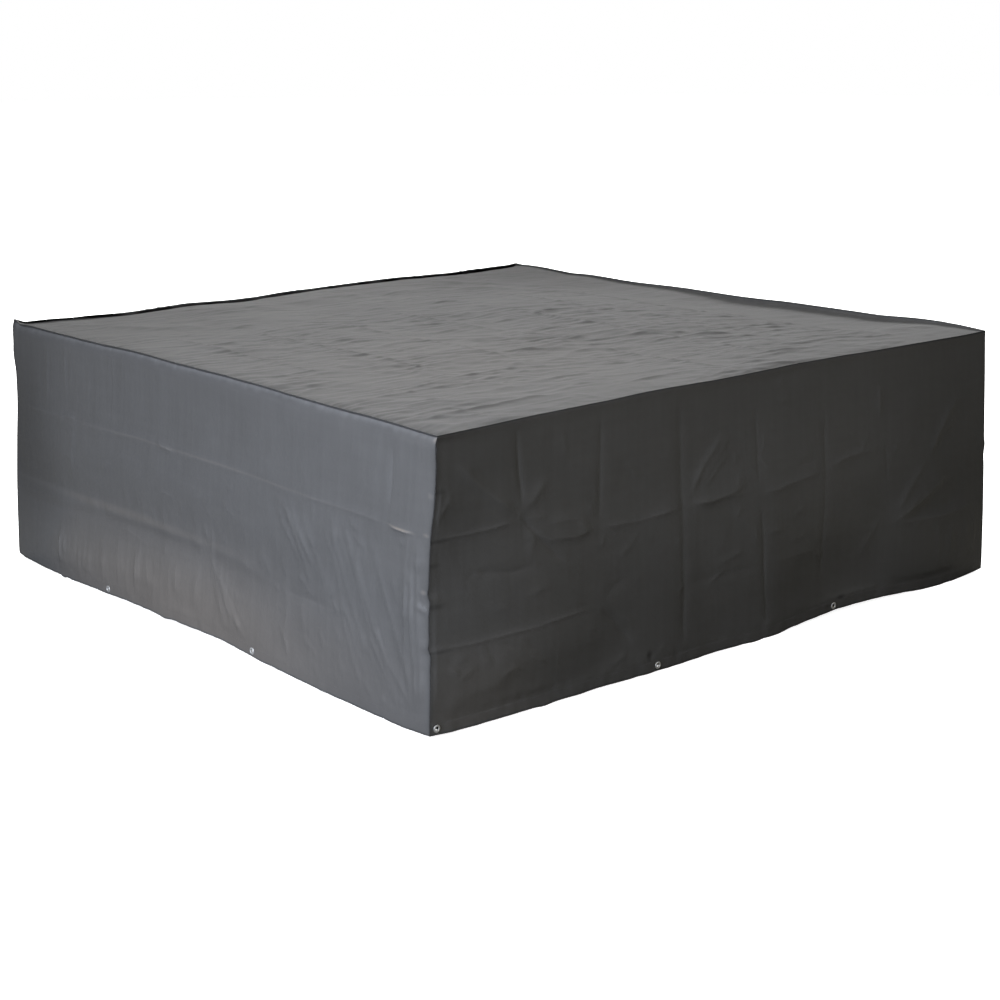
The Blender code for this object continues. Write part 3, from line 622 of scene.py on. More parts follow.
def curve_through(rows, at):
    """A smooth line through the (station, value) rows that keeps between neighbouring values."""
    stations, values = (np.array(column) for column in zip(*rows))
    run = np.diff(stations)
    slope = np.diff(values) / run
    tangent = np.concatenate([slope[:1], np.zeros(len(slope) - 1), slope[-1:]])
    product = slope[:-1] * slope[1:]
    turns = product > 0
    tangent[1:-1][turns] = 2 * product[turns] / (slope[:-1] + slope[1:])[turns]
    cell = np.clip(np.searchsorted(stations, at) - 1, 0, len(run) - 1)
    share = (at - stations[cell]) / run[cell]
    lift = ease(share)
    bend = run[cell] * share * (1 - share)
    value = mix(values[cell], values[cell + 1], lift)
    return value + bend * (tangent[cell] * (1 - share) - tangent[cell + 1] * share)


LATTICE = 64


def noise(x, y, seed):
    """Smooth noise between about -1 and 1, one bump to a unit."""
    spin = np.random.default_rng(seed).uniform(0, 2 * math.pi, (LATTICE, LATTICE))
    column, row = np.floor(x).astype(int), np.floor(y).astype(int)
    total = 0.0
    for step_x in (0, 1):
        for step_y in (0, 1):
            turn = spin[(row + step_y) % LATTICE, (column + step_x) % LATTICE]
            dx, dy = x - column - step_x, y - row - step_y
            weight = ease(1 - abs(dx)) * ease(1 - abs(dy))
            total = total + weight * (dx * np.cos(turn) + dy * np.sin(turn))
    return total * 1.5


def ripple(x, place, seed):
    """Smooth noise along one line of the same pattern."""
    return noise(x, np.full_like(x, place), seed)


def spacing(length, marks, step, fine=FINE_STEP):
    """Places from 0 to length: a step apart, and closer around each mark."""
    places = [0.0]
    while places[-1] < length:
        nearest = min(abs(places[-1] - mark) for mark in marks)
        stride = np.interp(nearest, (FINE_REACH, 3 * FINE_REACH), (fine, step))
        places.append(places[-1] + float(stride))
    return np.array([place for place in places if place < length - fine / 2] + [length])


# ================================================================ the cover's shape
def directions(side):
    """Unit vectors along the side, to the right as seen from outside, and outwards."""
    turn = side.quarter_turns * math.pi / 2
    along = np.array([round(math.cos(turn)), round(math.sin(turn))], float)
    return along, np.array([along[1], -along[0]])


def pucker(rows, depth):
    """How far rows of puckers pull a seam at a depth, as x and y."""
    rows = (Pucker(0.0, 0.0, 0.0), *rows, Pucker(BAND_TOP, 0.0, 0.0))
    depth = np.minimum(depth, BAND_TOP)
    x = curve_through([(row.depth, row.x) for row in rows], depth)
    y = curve_through([(row.depth, row.y) for row in rows], depth)
    return x, y


def lean(name, share, direction):
    corner = CORNERS[name]
    rim = corner.rim_x * direction[0] + corner.rim_y * direction[1]
    hem = corner.hem_x * direction[0] + corner.hem_y * direction[1]
    return mix(rim, hem, share)


def run_value(side, field, u):
    left, right = CORNERS[side.left_corner], CORNERS[side.right_corner]
    rows = [(0.0, getattr(left, field, 0.0))]
    rows += [(row.u, getattr(row, field)) for row in RUNS[side.name]]
    rows += [(SPAN, getattr(right, field, 0.0))]
    return curve_through(rows, u)


def side_point(side, u, depth):
    """Points of the side's outer face as x, y, z, without its folds."""
    along, outward = directions(side)
    share = ramp(depth, BAND_TOP)
    across = u / SPAN
    pull_along, pull_outward = 0.0, 0.0
    for name, distance in ((side.left_corner, u), (side.right_corner, SPAN - u)):
        for rows, length in ((PUCKERS[name], PUCKER_REACH), (NICKS[name], NICK_REACH)):
            x, y = pucker(rows, depth)
            reach = ease(ramp(length - distance, length))
            pull_along = pull_along + (x * along[0] + y * along[1]) * reach
            pull_outward = pull_outward + (x * outward[0] + y * outward[1]) * reach
    left, right = side.left_corner, side.right_corner
    shift = mix(lean(left, share, along), lean(right, share, along), across) + pull_along
    reach = mix(lean(left, share, outward), lean(right, share, outward), across) + pull_outward
    reach = reach + mix(run_value(side, "rim_bow", u), run_value(side, "hem_bow", u), share)
    rise = mix(run_value(side, "rim_rise", u), run_value(side, "hem_rise", u), share)
    x = along[0] * (u - HALF + shift) + outward[0] * (HALF + reach)
    y = along[1] * (u - HALF + shift) + outward[1] * (HALF + reach)
    return np.stack([x, y, rise - depth + RIM_LEVEL], -1)


def rim_point(side, u):
    return side_point(side, u, np.zeros_like(u))


def top_point(u, v):
    """Points of the top's outer face, without folds: it hangs between its four rims."""
    front, right, back, left = SIDES
    p, q = (u / SPAN)[..., None], (v / SPAN)[..., None]
    across = mix(rim_point(back, SPAN - u), rim_point(front, u), q)
    along = mix(rim_point(left, v), rim_point(right, SPAN - v), p)
    zero, full = np.zeros_like(u), np.full_like(u, SPAN)
    at_back = mix(rim_point(left, zero), rim_point(right, full), p)
    at_front = mix(rim_point(left, full), rim_point(right, zero), p)
    return across + along - mix(at_back, at_front, q)


def hem_drop(name, u):
    """How far the hem hangs below its line where the turned cloth is bunched."""
    drop = HEM_WAVER * ripple(u / 0.050, 0.43, GATHERS[name].seed + 20)
    for nib in HEM_NIBS[name]:
        drop = drop + nib.drop * bell(u - nib.u, nib.reach)
    return drop * ease(ramp(np.minimum(u, SPAN - u), END_FADE))


def gathered(name, along):
    """How far a rim rises and falls where the seam is gathered, along its side from the left."""
    gather = GATHERS[name]
    small = ripple(along / 0.080, 0.37, gather.seed)
    nib = np.maximum(0.0, ripple(along / 0.020, 0.61, gather.seed + 9) - 0.5)
    height = gather.height * (small + 5 * nib)
    return height * ease(ramp(np.minimum(along, SPAN - along), END_FADE))


def tip_rise(name, distance):
    return CORNERS[name].tip * ease(ramp(CORNER_STEP - distance, CORNER_STEP))


# ================================================================ folds
def fold_section(fold, u, v):
    """Distance from the fold's path, below 0 on its left, and its strength, which fades out at
    both ends."""
    nearest = np.full(u.shape, np.inf)
    travelled = np.zeros(u.shape)
    side = np.zeros(u.shape)
    start = 0.0
    for (u0, v0), (u1, v1) in zip(fold.path, fold.path[1:]):
        du, dv = u1 - u0, v1 - v0
        length = math.hypot(du, dv)
        share = np.clip(((u - u0) * du + (v - v0) * dv) / length ** 2, 0.0, 1.0)
        off_u, off_v = u - u0 - share * du, v - v0 - share * dv
        off = np.hypot(off_u, off_v)
        closer = off < nearest
        nearest = np.where(closer, off, nearest)
        travelled = np.where(closer, start + share * length, travelled)
        side = np.where(closer, np.sign(du * off_v - dv * off_u), side)
        start += length
    taper = min(FOLD_FADE, start / 2.5)
    return nearest * side, ease(ramp(np.minimum(travelled, start - travelled), taper))


def fan_folds(name):
    """The single folds of a sheet's fans."""
    made = []
    for fan in FANS[name]:
        draw = np.random.default_rng(fan.seed)
        for number in range(fan.count):
            share = (number + draw.uniform(0.1, 0.9)) / fan.count
            ends = mix(np.array(fan.first), np.array(fan.last), share)
            ends += draw.uniform(-1, 1, (2, 2)) * FAN_STRAY
            first, second = (mix(*ends, place) + draw.uniform(-FAN_BEND, FAN_BEND, 2)
                             for place in (0.35, 0.70))
            height = fan.height * draw.uniform(0.4, 1.5)
            path = (ends[0], first, second, ends[1])
            made.append(Fold(path, fan.width, height, SOFT / 2))
    return made


def scattered_folds(name):
    made = []
    for group in SCATTERS[name]:
        draw = np.random.default_rng(group.seed)
        for number in range(group.count):
            middle = draw.uniform(group.low, group.high)
            turn = math.radians(group.angle + group.turn * draw.normal())
            way = np.array([math.cos(turn), math.sin(turn)])
            across = np.array([-way[1], way[0]])
            half = group.length / 2 * draw.uniform(0.35, 1.25)
            bow = half * draw.uniform(-0.16, 0.16)
            path = (middle - way * half, middle - way * half / 3 + across * bow,
                    middle + way * half / 3 + across * bow, middle + way * half)
            height = group.height * draw.uniform(0.4, 1.5)
            made.append(Fold(path, group.width, height, SOFT / 2, draw.uniform(1.0, 1.8)))
    return made


def waver(u, v, seed):
    """The (u, v) that a fold is drawn at, a few millimetres off, so that no fold is straight."""
    moved = []
    for place, broad, fine, first_seed in ((u, 0.13, 0.035, seed), (v, 0.14, 0.037, seed + 2)):
        drift = DRIFT * noise(u / broad, v / broad, first_seed)
        drift = drift + FINE_DRIFT * noise(u / fine, v / fine, first_seed + 1)
        moved.append(place + drift)
    return moved


# All of a sheet's folds are drawn this many times their height.
RELIEF = {"top": 1.25, "front": 1.15, "left": 1.6, "right": 1.3, "back": 1.3}

# The line that a fold's edge leaves: how far it reaches to each side, and the height of a fold that
# leaves it at full strength. On the sides it is worn light, and on the top it is a painted shadow in the
# crease.
Line = namedtuple("Line", "width height")
SIDE_LINE = Line(0.0022, 0.0040)
LINES = {"top": Line(0.0042, -0.0018), **{side.name: SIDE_LINE for side in SIDES}}


def folds(name, u, v):
    """Height of the folds, and the mark along their edges: worn light above 0, a painted crease shadow
    below 0.
    """
    seed = sum(ord(letter) for letter in name)
    fold_u, fold_v = waver(u, v, seed)
    uneven = 1 + FOLD_UNEVEN * noise(u / 0.09, v / 0.09, seed + 4)
    height, wear = np.zeros(u.shape), np.zeros(u.shape)
    line = LINES[name]
    for fold in (*FOLDS[name], *fan_folds(name), *scattered_folds(name)):
        off, strength = fold_section(fold, fold_u, fold_v)
        width = np.where(off < 0, fold.width * fold.skew, fold.width)
        flank = np.sqrt(off ** 2 + fold.crest ** 2) - fold.crest
        height += RELIEF[name] * fold.height * strength * uneven * np.exp(-flank / width)
        if fold.crest < ROUND:
            edge = strength * uneven * np.exp(-abs(off) / line.width) * fold.height / line.height
            wear = np.where(abs(edge) > abs(wear), edge, wear)
    for swell in SWELLS[name]:
        height += swell.height * hump(swell, u, v)
    return height, np.clip(wear, -1.0, 1.0)


def waves(name, u, v):
    height = np.zeros(u.shape)
    for wave in WAVES[name]:
        turn = math.radians(wave.angle)
        along = (u * math.cos(turn) + v * math.sin(turn)) / wave.length
        across = (v * math.cos(turn) - u * math.sin(turn)) / wave.spacing
        bend = 0.8 * noise(along * 0.7, across * 0.25, wave.seed + 100)
        bend = bend + 0.5 * noise(along * 1.9, across * 0.6, wave.seed + 150)
        patch = ease(ramp(noise(u / 0.30, v / 0.30, wave.seed + 200) + wave.cover, 0.8))
        pattern = noise(along, across + bend, wave.seed)
        if wave.sharp:
            pattern = np.maximum(0.0, 1 - abs(pattern) * wave.sharp) ** 1.3
            patch = patch * calm(name, u, v)
        height += wave.height * pattern * patch
    return height


def calm(name, u, v):
    """Where the fine wrinkles fade: by the top's right rim, and partly over its back half."""
    if name != "top":
        return 1.0
    by_rim = ease(ramp(u - CALM_RIM.start, CALM_RIM.run))
    in_front = ease(ramp(v - CALM_BACK.start, CALM_BACK.run))
    return (1 - CALM_RIM.share * by_rim) * mix(1 - CALM_BACK.share, 1.0, in_front)


def edge_distance(u, v, width, height):
    return np.minimum(np.minimum(u, width - u), np.minimum(v, height - v))


# ================================================================ the sheets as meshes
def sheet_mesh(name, columns, rows, place):
    """An even grid whose points are put at place(column, row), with the cloth's own coordinates."""
    grid = bmesh.new()
    bmesh.ops.create_grid(grid, x_segments=len(columns) - 1, y_segments=len(rows) - 1, size=1.0)
    mesh = bpy.data.meshes.new(name)
    grid.to_mesh(mesh)
    grid.free()
    flat = np.zeros(len(mesh.vertices) * 3, np.float32)
    mesh.vertices.foreach_get("co", flat)
    flat = flat.reshape(-1, 3)
    column = np.rint((flat[:, 0] + 1) / 2 * (len(columns) - 1)).astype(int)
    row = np.rint((flat[:, 1] + 1) / 2 * (len(rows) - 1)).astype(int)
    points, cloth, wear, shade = place(columns[column], rows[row])
    mesh.vertices.foreach_set("co", points.astype(np.float32).ravel())
    store(mesh, "cloth", "FLOAT_VECTOR", "vector", cloth)
    store(mesh, "wear", "FLOAT", "value", wear)
    store(mesh, "shade", "FLOAT", "value", shade)
    mesh.flip_normals()
    mesh.shade_smooth()
    mesh.update()
    return mesh


def store(mesh, name, kind, field, values):
    layer = mesh.attributes.new(name, kind, "POINT")
    layer.data.foreach_set(field, np.asarray(values, np.float32).ravel())


def fold_marks(name, axis):
    """Where sharp folds cross the sheet straight: their u for axis 0, their v for axis 1."""
    marks = []
    for fold in FOLDS[name]:
        first, last = fold.path[0], fold.path[-1]
        stray, run = abs(last[axis] - first[axis]), abs(last[1 - axis] - first[1 - axis])
        if fold.crest < ROUND and stray < STRAIGHT * run:
            marks.append((first[axis] + last[axis]) / 2)
    return marks


def new_piece(name, mesh, slot, *nodes):
    piece = bpy.data.objects.new(name, mesh)
    bpy.context.scene.collection.objects.link(piece)
    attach(piece, "root")
    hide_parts(*nodes)
    return piece


def rim_value(field, u, v):
    """A value of the rims at points of the top, taken mostly from the nearest one."""
    away = {"front": SPAN - v, "back": v, "left": u, "right": SPAN - u}
    weights = {name: 1 / (distance + RIM_BLEND) ** 2 for name, distance in away.items()}
    total = sum(weights.values())
    return sum(weights[name] * getattr(RIMS[name], field) for name in weights) / total


# The top sags inside its right rim, which stands up as a lip: how deep, along v.
LIP = ((0.0, 0.0), (0.25, 0.003), (0.80, 0.008), (1.25, 0.014), (1.65, 0.013), (1.90, 0.005),
       (2.0, 0.0))
LIP_WIDTH = 0.010
LIP_REACH = 0.420
RIM_BLEND = 0.003       # over this distance a corner belongs to both of its rims
TOP_EDGE = 0.006        # the top's folds start to rise this far from its rims
FIN_EDGE = 0.0008       # the raised seam is flat this far from its edge,
FIN_FALL = 0.0040       # falls over this distance,
FIN_SHARE = 0.45        # and leaves this share of its step
FIN_REACH = 0.050       # past this distance
SEAM_ROUND = 0.0006     # the sheet's own edge is rounded by this
SEAM_ROUND_REACH = 0.0016
# The back seam starts lower, by this share, at the left corner.
LOW_FIN = Calm(0.55, 0.10, 0.50)
LOW_FIN_WIDTH = 0.05
LOW_FIN_START = 0.02


def right_lip(u, v):
    away = SPAN - u
    return -curve_through(LIP, v) * (1 - np.exp(-away / LIP_WIDTH)) * bell(away, LIP_REACH)


def fin_height(u, v):
    """The raised seam along the rims, which is lower in the back near the left corner."""
    rise = ease(ramp(u - LOW_FIN.start, LOW_FIN.run))
    low = LOW_FIN.share * (1 - rise) * bell(v, LOW_FIN_WIDTH) * ramp(u, LOW_FIN_START)
    return rim_value("fin", u, v) * (1 - low)


def top_place(u, v):
    edge = edge_distance(u, v, SPAN, SPAN)
    height, wear = folds("top", u, v)
    height += waves("top", u, v)
    height *= ease(ramp(edge - TOP_EDGE, EDGE_FADE))
    fall = ease(ramp(edge - FIN_EDGE, FIN_FALL)) * mix(1.0, FIN_SHARE, ease(ramp(edge, FIN_REACH)))
    height -= fin_height(u, v) * fall
    height -= SEAM_ROUND * ease(ramp(edge, SEAM_ROUND_REACH))
    points = top_point(u, v)
    height += right_lip(u, v)
    points[:, 2] += height
    points[:, 2] += tip_rise("left", np.hypot(u, v)) + tip_rise("back", np.hypot(SPAN - u, v))
    rims = (("front", u, SPAN - v), ("right", SPAN - v, SPAN - u), ("back", SPAN - u, v), ("left", v, u))
    for name, along, away in rims:
        points[:, 2] += gathered(name, along) * bell(away, GATHER_REACH)
    # Painted shade: the rims' shadows on the top, and the top's patches of painted shade and light.
    shade = rim_value("top_shade", u, v) * bell(edge, rim_value("reach", u, v))
    shade *= 1 + SHADE_UNEVEN * noise(u / 0.06, v / 0.06, 76)
    shade += painted_patches("top", u, v)
    return points, np.stack([u, v, np.zeros_like(u)], -1), wear, shade


def top_sheet():
    columns = spacing(SPAN, [0.0, SPAN - LIP_WIDTH, SPAN, *fold_marks("top", 0)],
                      TOP_COLUMN_STEP, TOP_FINE_STEP)
    rows = spacing(SPAN, [0.0, SPAN], TOP_ROW_STEP)
    mesh = sheet_mesh("top_sheet", columns, rows, top_place)
    mesh.materials.append(CLOTH_FINISHES["top"])
    piece = new_piece("top_sheet", mesh, "cloth", "top_panel")
    return piece


def turned(run):
    """Depth and inset of the cloth at a distance run down it: past the hem it turns up inside."""
    turn = np.clip((run - HEIGHT) / FOLD_TURN, 0.0, math.pi)
    past = np.maximum(run - HEIGHT - math.pi * FOLD_TURN, 0.0)
    depth = np.minimum(run, HEIGHT) + FOLD_TURN * np.sin(turn) - past
    return depth, FOLD_TURN * (1 - np.cos(turn))


def eyelet_centres(side):
    """Each eyelet's middle on the hem's outer face, where its solid is."""
    along, outward = directions(side)
    places = []
    for number, u in enumerate(side.eyelets, 1):
        low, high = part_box(f"eyelet_{side.name}_{number}")
        middle = (low + high) / 2
        outer = middle + Vector((*outward, 0.0)) * CLOTH / 2
        places.append((number, outer))
    return places


EYELET_PLACES = {side.name: eyelet_centres(side) for side in SIDES}


# A groove or band is so deep or strong and so wide.
Band = namedtuple("Band", "depth width")
SEAM_GROOVE = Band(0.0010, 0.0025)      # along the stitches under a rim's fin
BAND_GROOVE = Band(0.0003, 0.0030)      # along the stitches at the top of the hem
CORNER_GROOVE = Band(0.0012, 0.0040)    # in the sewn edge at a corner
SEAM_SHADE = Band(0.60, 0.0042)         # a corner seam's shadow
HEM_SHADE = Band(0.55, 0.0035)          # a painted shadow along the hem's edge
SHADE_UNEVEN = 0.35
ROLL_REACH = 0.030      # how far down the side sheet rolls over or tucks in
ROLL_START = 0.003
RUB_DEPTH = 0.009       # where the roll is worn and painted with a highlight
RUB_REACH = 0.007       # how far that lighter band reaches,
RUB_RAGGED = 0.003      # and how ragged its edge is
HEM_PUCKER = 0.0011     # unevenness of the double cloth in the hem
HEM_PUCKER_REACH = 0.030

# The lower part of a side is painted lighter (below 0) or darker, as painted light and shade: by how
# much, from which depth, and from and to which u it grows.
Fade = namedtuple("Fade", "change depth u_from u_to")
LOWER_SHADING_RUN = 0.24         # it grows over this depth
LOWER_SHADINGS = {
    "front": Fade(0.13, 0.20, 0.20, 0.60),
    "right": Fade(0.06, 0.30, 0.00, 1.00),
    "back": Fade(-0.06, 0.40, 0.00, 1.00),
    "left": Fade(-0.22, 0.40, 2.40, 1.10),
}


# A patch of the cloth painted darker (above 0) or lighter: broad ones are painted shade and light where
# the light falls off, and small ones are painted light and shadow on puckers, folds and creases.
ShadePatch = namedtuple("ShadePatch", "u v reach_u reach_v change")
SHADE_PATCHES = table(ShadePatch, {
    "top": (
        (0, 0, 900, 900, 0.18),
        (2000, 0, 900, 900, 0.32),
        (600, 1400, 900, 800, -0.07),
    ),
    "front": (
        (2000, 320, 700, 800, 0.32),
        (0, 100, 400, 500, 0.14),
        # shadows in the near seam's puckers
        (14, 130, 26, 9, 0.2),
        (22, 244, 45, 7, 0.3),
        (14, 300, 24, 10, 0.2),
        (20, 395, 36, 8, 0.28),
        (24, 503, 46, 7, 0.3),
        (1000, 0, 1600, 420, 0.12),
        (120, 640, 340, 220, -0.16),
        # painted shadows in the creases beside two eyelets
        (670, 655, 12, 24, 0.4),
        (1392, 668, 24, 10, 0.4),
        (1335, 682, 22, 8, 0.25),
    ),
    "left": (
        (0, 400, 400, 800, 0.42),
        (900, 700, 800, 220, -0.14),
        (1050, 620, 1000, 340, -0.13),
        # light on the near seam's puckers and on the fold beside it
        (1992, 12, 14, 12, -0.45),
        (1986, 140, 16, 6, -0.4),
        (1984, 230, 18, 6, -0.4),
        (1986, 362, 18, 8, -0.35),
        (1885, 234.5, 70, 4, -0.7),
        # light on the two level folds
        (1050, 233, 1000, 4.5, -0.16),
        (600, 452, 780, 18, -0.16),
    ),
    "right": ((600, 500, 600, 400, 0.06),),
    "back": ((1400, 500, 600, 400, 0.06),),
}, plain=("change",))


# Painted light and shade on the lower part of a side.
def lower_shading(name, u, depth):
    fade = LOWER_SHADINGS[name]
    down = ease(ramp(depth - fade.depth, LOWER_SHADING_RUN))
    along = ease(np.clip((u - fade.u_from) / (fade.u_to - fade.u_from), 0.0, 1.0))
    return fade.change * down * along


# Painted shade and light of a sheet's patches.
def painted_patches(name, u, v):
    return sum(stain.change * hump(stain, u, v) for stain in SHADE_PATCHES[name])


def worn_and_lit_roll(rim, u, depth):
    """Wear and a painted highlight on the roll below a rim, in a ragged band."""
    reach = RUB_REACH + RUB_RAGGED * (noise(u / 0.030, depth / 0.5, 73) + ripple(u / 0.25, 0.0, 74))
    return rim.rub * (1 + 0.5 * noise(u / 0.012, depth / 0.05, 75)) * bell(depth - RUB_DEPTH, reach)


def hem_pucker(u, depth):
    hem = ease(ramp(depth - BAND_TOP + HEM_PUCKER_REACH, HEM_PUCKER_REACH))
    return HEM_PUCKER * hem * noise(u / 0.030, depth / 0.060, 71)


def side_place(side, u, run):
    along, outward = directions(side)
    depth, inset = turned(run)
    edge = edge_distance(u, np.minimum(depth, BAND_TOP), SPAN, BAND_TOP)
    height, wear = folds(side.name, u, depth)
    height += waves(side.name, u, depth)
    height *= ease(ramp(edge, EDGE_FADE))
    rim = RIMS[side.name]
    corner = np.minimum(u, SPAN - u)
    height -= SEAM_GROOVE.depth * bell(depth - rim.fin, SEAM_GROOVE.width)
    height -= rim.roll * (1 - ramp(depth - rim.fin, ROLL_REACH)) ** 2 * ramp(depth, ROLL_START)
    height += hem_pucker(u, depth)
    height -= BAND_GROOVE.depth * bell(depth - BAND_TOP, BAND_GROOVE.width)
    height -= CORNER_GROOVE.depth * (1 - ramp(corner, CORNER_GROOVE.width)) ** 2
    # The roll below the rim is worn light, and on the left rim mostly lit by a painted highlight.
    wear = np.maximum(wear, worn_and_lit_roll(rim, u, depth))
    points = side_point(side, u, depth)
    lift = tip_rise(side.left_corner, u) + tip_rise(side.right_corner, SPAN - u)
    points[:, 2] += lift * (1 - ramp(depth, BAND_TOP))
    points[:, 2] += gathered(side.name, u) * bell(depth, GATHER_REACH)
    points[:, 2] -= hem_drop(side.name, u) * bell(HEIGHT - depth, HEM_DROP_REACH)
    reach = points[:, 0] * outward[0] + points[:, 1] * outward[1] + height
    for number, centre in EYELET_PLACES[side.name]:
        away = np.hypot(
            (points[:, 0] - centre.x) * along[0] + (points[:, 1] - centre.y) * along[1],
            points[:, 2] - centre.z,
        )
        flat = 1 - ease(ramp(away - EYELET_PAD, EYELET_EASE))
        reach = mix(reach, centre.x * outward[0] + centre.y * outward[1], flat)
    reach -= inset
    for axis in (0, 1):
        if outward[axis]:
            points[:, axis] = reach * outward[axis]
    # Painted shade: the rim's shadow, a corner seam's shadow and the shadow along the hem's edge, then
    # the painted light and shade on the lower side and in patches.
    shade = rim.side_shade * bell(depth, rim.reach)
    shade = np.maximum(shade, SEAM_SHADE.depth * np.exp(-corner / SEAM_SHADE.width))
    shade = np.maximum(shade, HEM_SHADE.depth * bell(HEIGHT - depth, HEM_SHADE.width))
    shade += lower_shading(side.name, u, depth) + painted_patches(side.name, u, depth)
    return points, np.stack([u, run, np.ones_like(u)], -1), wear, shade


def cut_eyelets(mesh, side):
    """Takes the cloth away inside each eyelet, under its flange."""
    along, outward = directions(side)
    cloth = bmesh.new()
    cloth.from_mesh(mesh)
    middles = np.array([face.calc_center_median() for face in cloth.faces])
    cut = np.zeros(len(middles), bool)
    for number, centre in EYELET_PLACES[side.name]:
        off = middles - np.array(centre)
        cut |= np.hypot(off[:, :2] @ along, off[:, 2]) < EYELET_CUT
    cloth.faces.ensure_lookup_table()
    doomed = [cloth.faces[number] for number in np.flatnonzero(cut)]
    bmesh.ops.delete(cloth, geom=doomed, context="FACES")
    cloth.to_mesh(mesh)
    cloth.free()


def side_sheet(side):
    length = HEIGHT + math.pi * FOLD_TURN + HEM_BAND
    columns = spacing(SPAN, [0.0, SPAN, *fold_marks(side.name, 0), *side.eyelets], SIDE_STEP)
    behind_eyelets = 2 * HEIGHT - EYELET_RUN + math.pi * FOLD_TURN
    marks = [0.0, BAND_TOP, EYELET_RUN, HEIGHT, behind_eyelets, *fold_marks(side.name, 1)]
    rows = spacing(length, marks, SIDE_STEP)
    turn = HEIGHT + FOLD_TURN * np.linspace(0.0, math.pi, 5)
    rows = rows[(rows < turn[0] - FINE_STEP / 3) | (rows > turn[-1] + FINE_STEP / 3)]
    rows = np.sort(np.concatenate([rows, turn]))
    name = side.name + "_sheet"
    mesh = sheet_mesh(name, columns, rows, lambda u, run: side_place(side, u, run))
    cut_eyelets(mesh, side)
    mesh.materials.append(CLOTH_FINISHES[side.name])
    piece = new_piece(name, mesh, "cloth", side.name + "_panel", "hem_" + side.name)
    return piece


# ================================================================ eyelets
def eyelet_mesh():
    """A rolled ring and its washer, turned about Z; the cloth's outer face is at Z 0."""
    outer = 0.0095
    bore = 0.0048
    front = (
        (outer, 0.0002), (outer, 0.0007), (outer - 0.0006, 0.00115), (0.0084, 0.0013),
        (0.0070, 0.0014), (0.0058, 0.0014), (0.0052, 0.0011), (bore, 0.0004),
    )
    back = (
        (bore, -0.0026), (0.0052, -0.0032), (0.0060, -0.0034), (0.0076, -0.0032),
        (outer - 0.0004, -0.0030), (outer, -0.0026), (outer - 0.0003, -0.0023),
        (0.0060, -0.0023), (0.0055, -0.0020), (0.0055, 0.0000), (0.0060, 0.0002),
    )
    ring = bmesh.new()
    points = [ring.verts.new((radius, 0.0, height)) for radius, height in front + back]
    for first, last in zip(points, points[1:] + points[:1]):
        ring.edges.new((first, last))
    bmesh.ops.spin(ring, geom=ring.verts[:] + ring.edges[:], cent=(0, 0, 0), axis=(0, 0, 1),
                   angle=2 * math.pi, steps=40, use_merge=True)
    bmesh.ops.remove_doubles(ring, verts=ring.verts[:], dist=0.00001)
    bmesh.ops.recalc_face_normals(ring, faces=ring.faces[:])
    mesh = bpy.data.meshes.new("eyelet")
    ring.to_mesh(mesh)
    ring.free()
    mesh.shade_smooth()
    return mesh


def eyelets(side):
    outward = directions(side)[1]
    for number, centre in EYELET_PLACES[side.name]:
        mesh = eyelet_mesh()
        facing = Vector((*outward, 0.0)).to_track_quat("Z", "X").to_matrix().to_4x4()
        mesh.transform(Matrix.Translation(centre) @ facing)
        mesh.materials.append(METAL_FINISH)
        new_piece(f"ring_{side.name}_{number}", mesh, "eyelet", f"eyelet_{side.name}_{number}")


# ================================================================ finishes
class Nodes:
    """Adds nodes to a material and joins them."""

    def __init__(self, name):
        self.material = bpy.data.materials.new(name)
        self.material.use_nodes = True
        self.tree = self.material.node_tree
        self.shader = self.tree.nodes["Principled BSDF"]

    def add(self, kind, inputs=(), **settings):
        node = self.tree.nodes.new(kind)
        for key, value in settings.items():
            setattr(node, key, value)
        for socket, value in dict(inputs).items():
            self.put(node, socket, value)
        return node

    def put(self, node, socket, value):
        if isinstance(value, bpy.types.NodeSocket):
            self.tree.links.new(value, node.inputs[socket])
        else:
            node.inputs[socket].default_value = value

    def maths(self, operation, *values):
        node = self.tree.nodes.new("ShaderNodeMath")
        node.operation = operation
        for number, value in enumerate(values):
            self.put(node, number, value)
        return node.outputs[0]


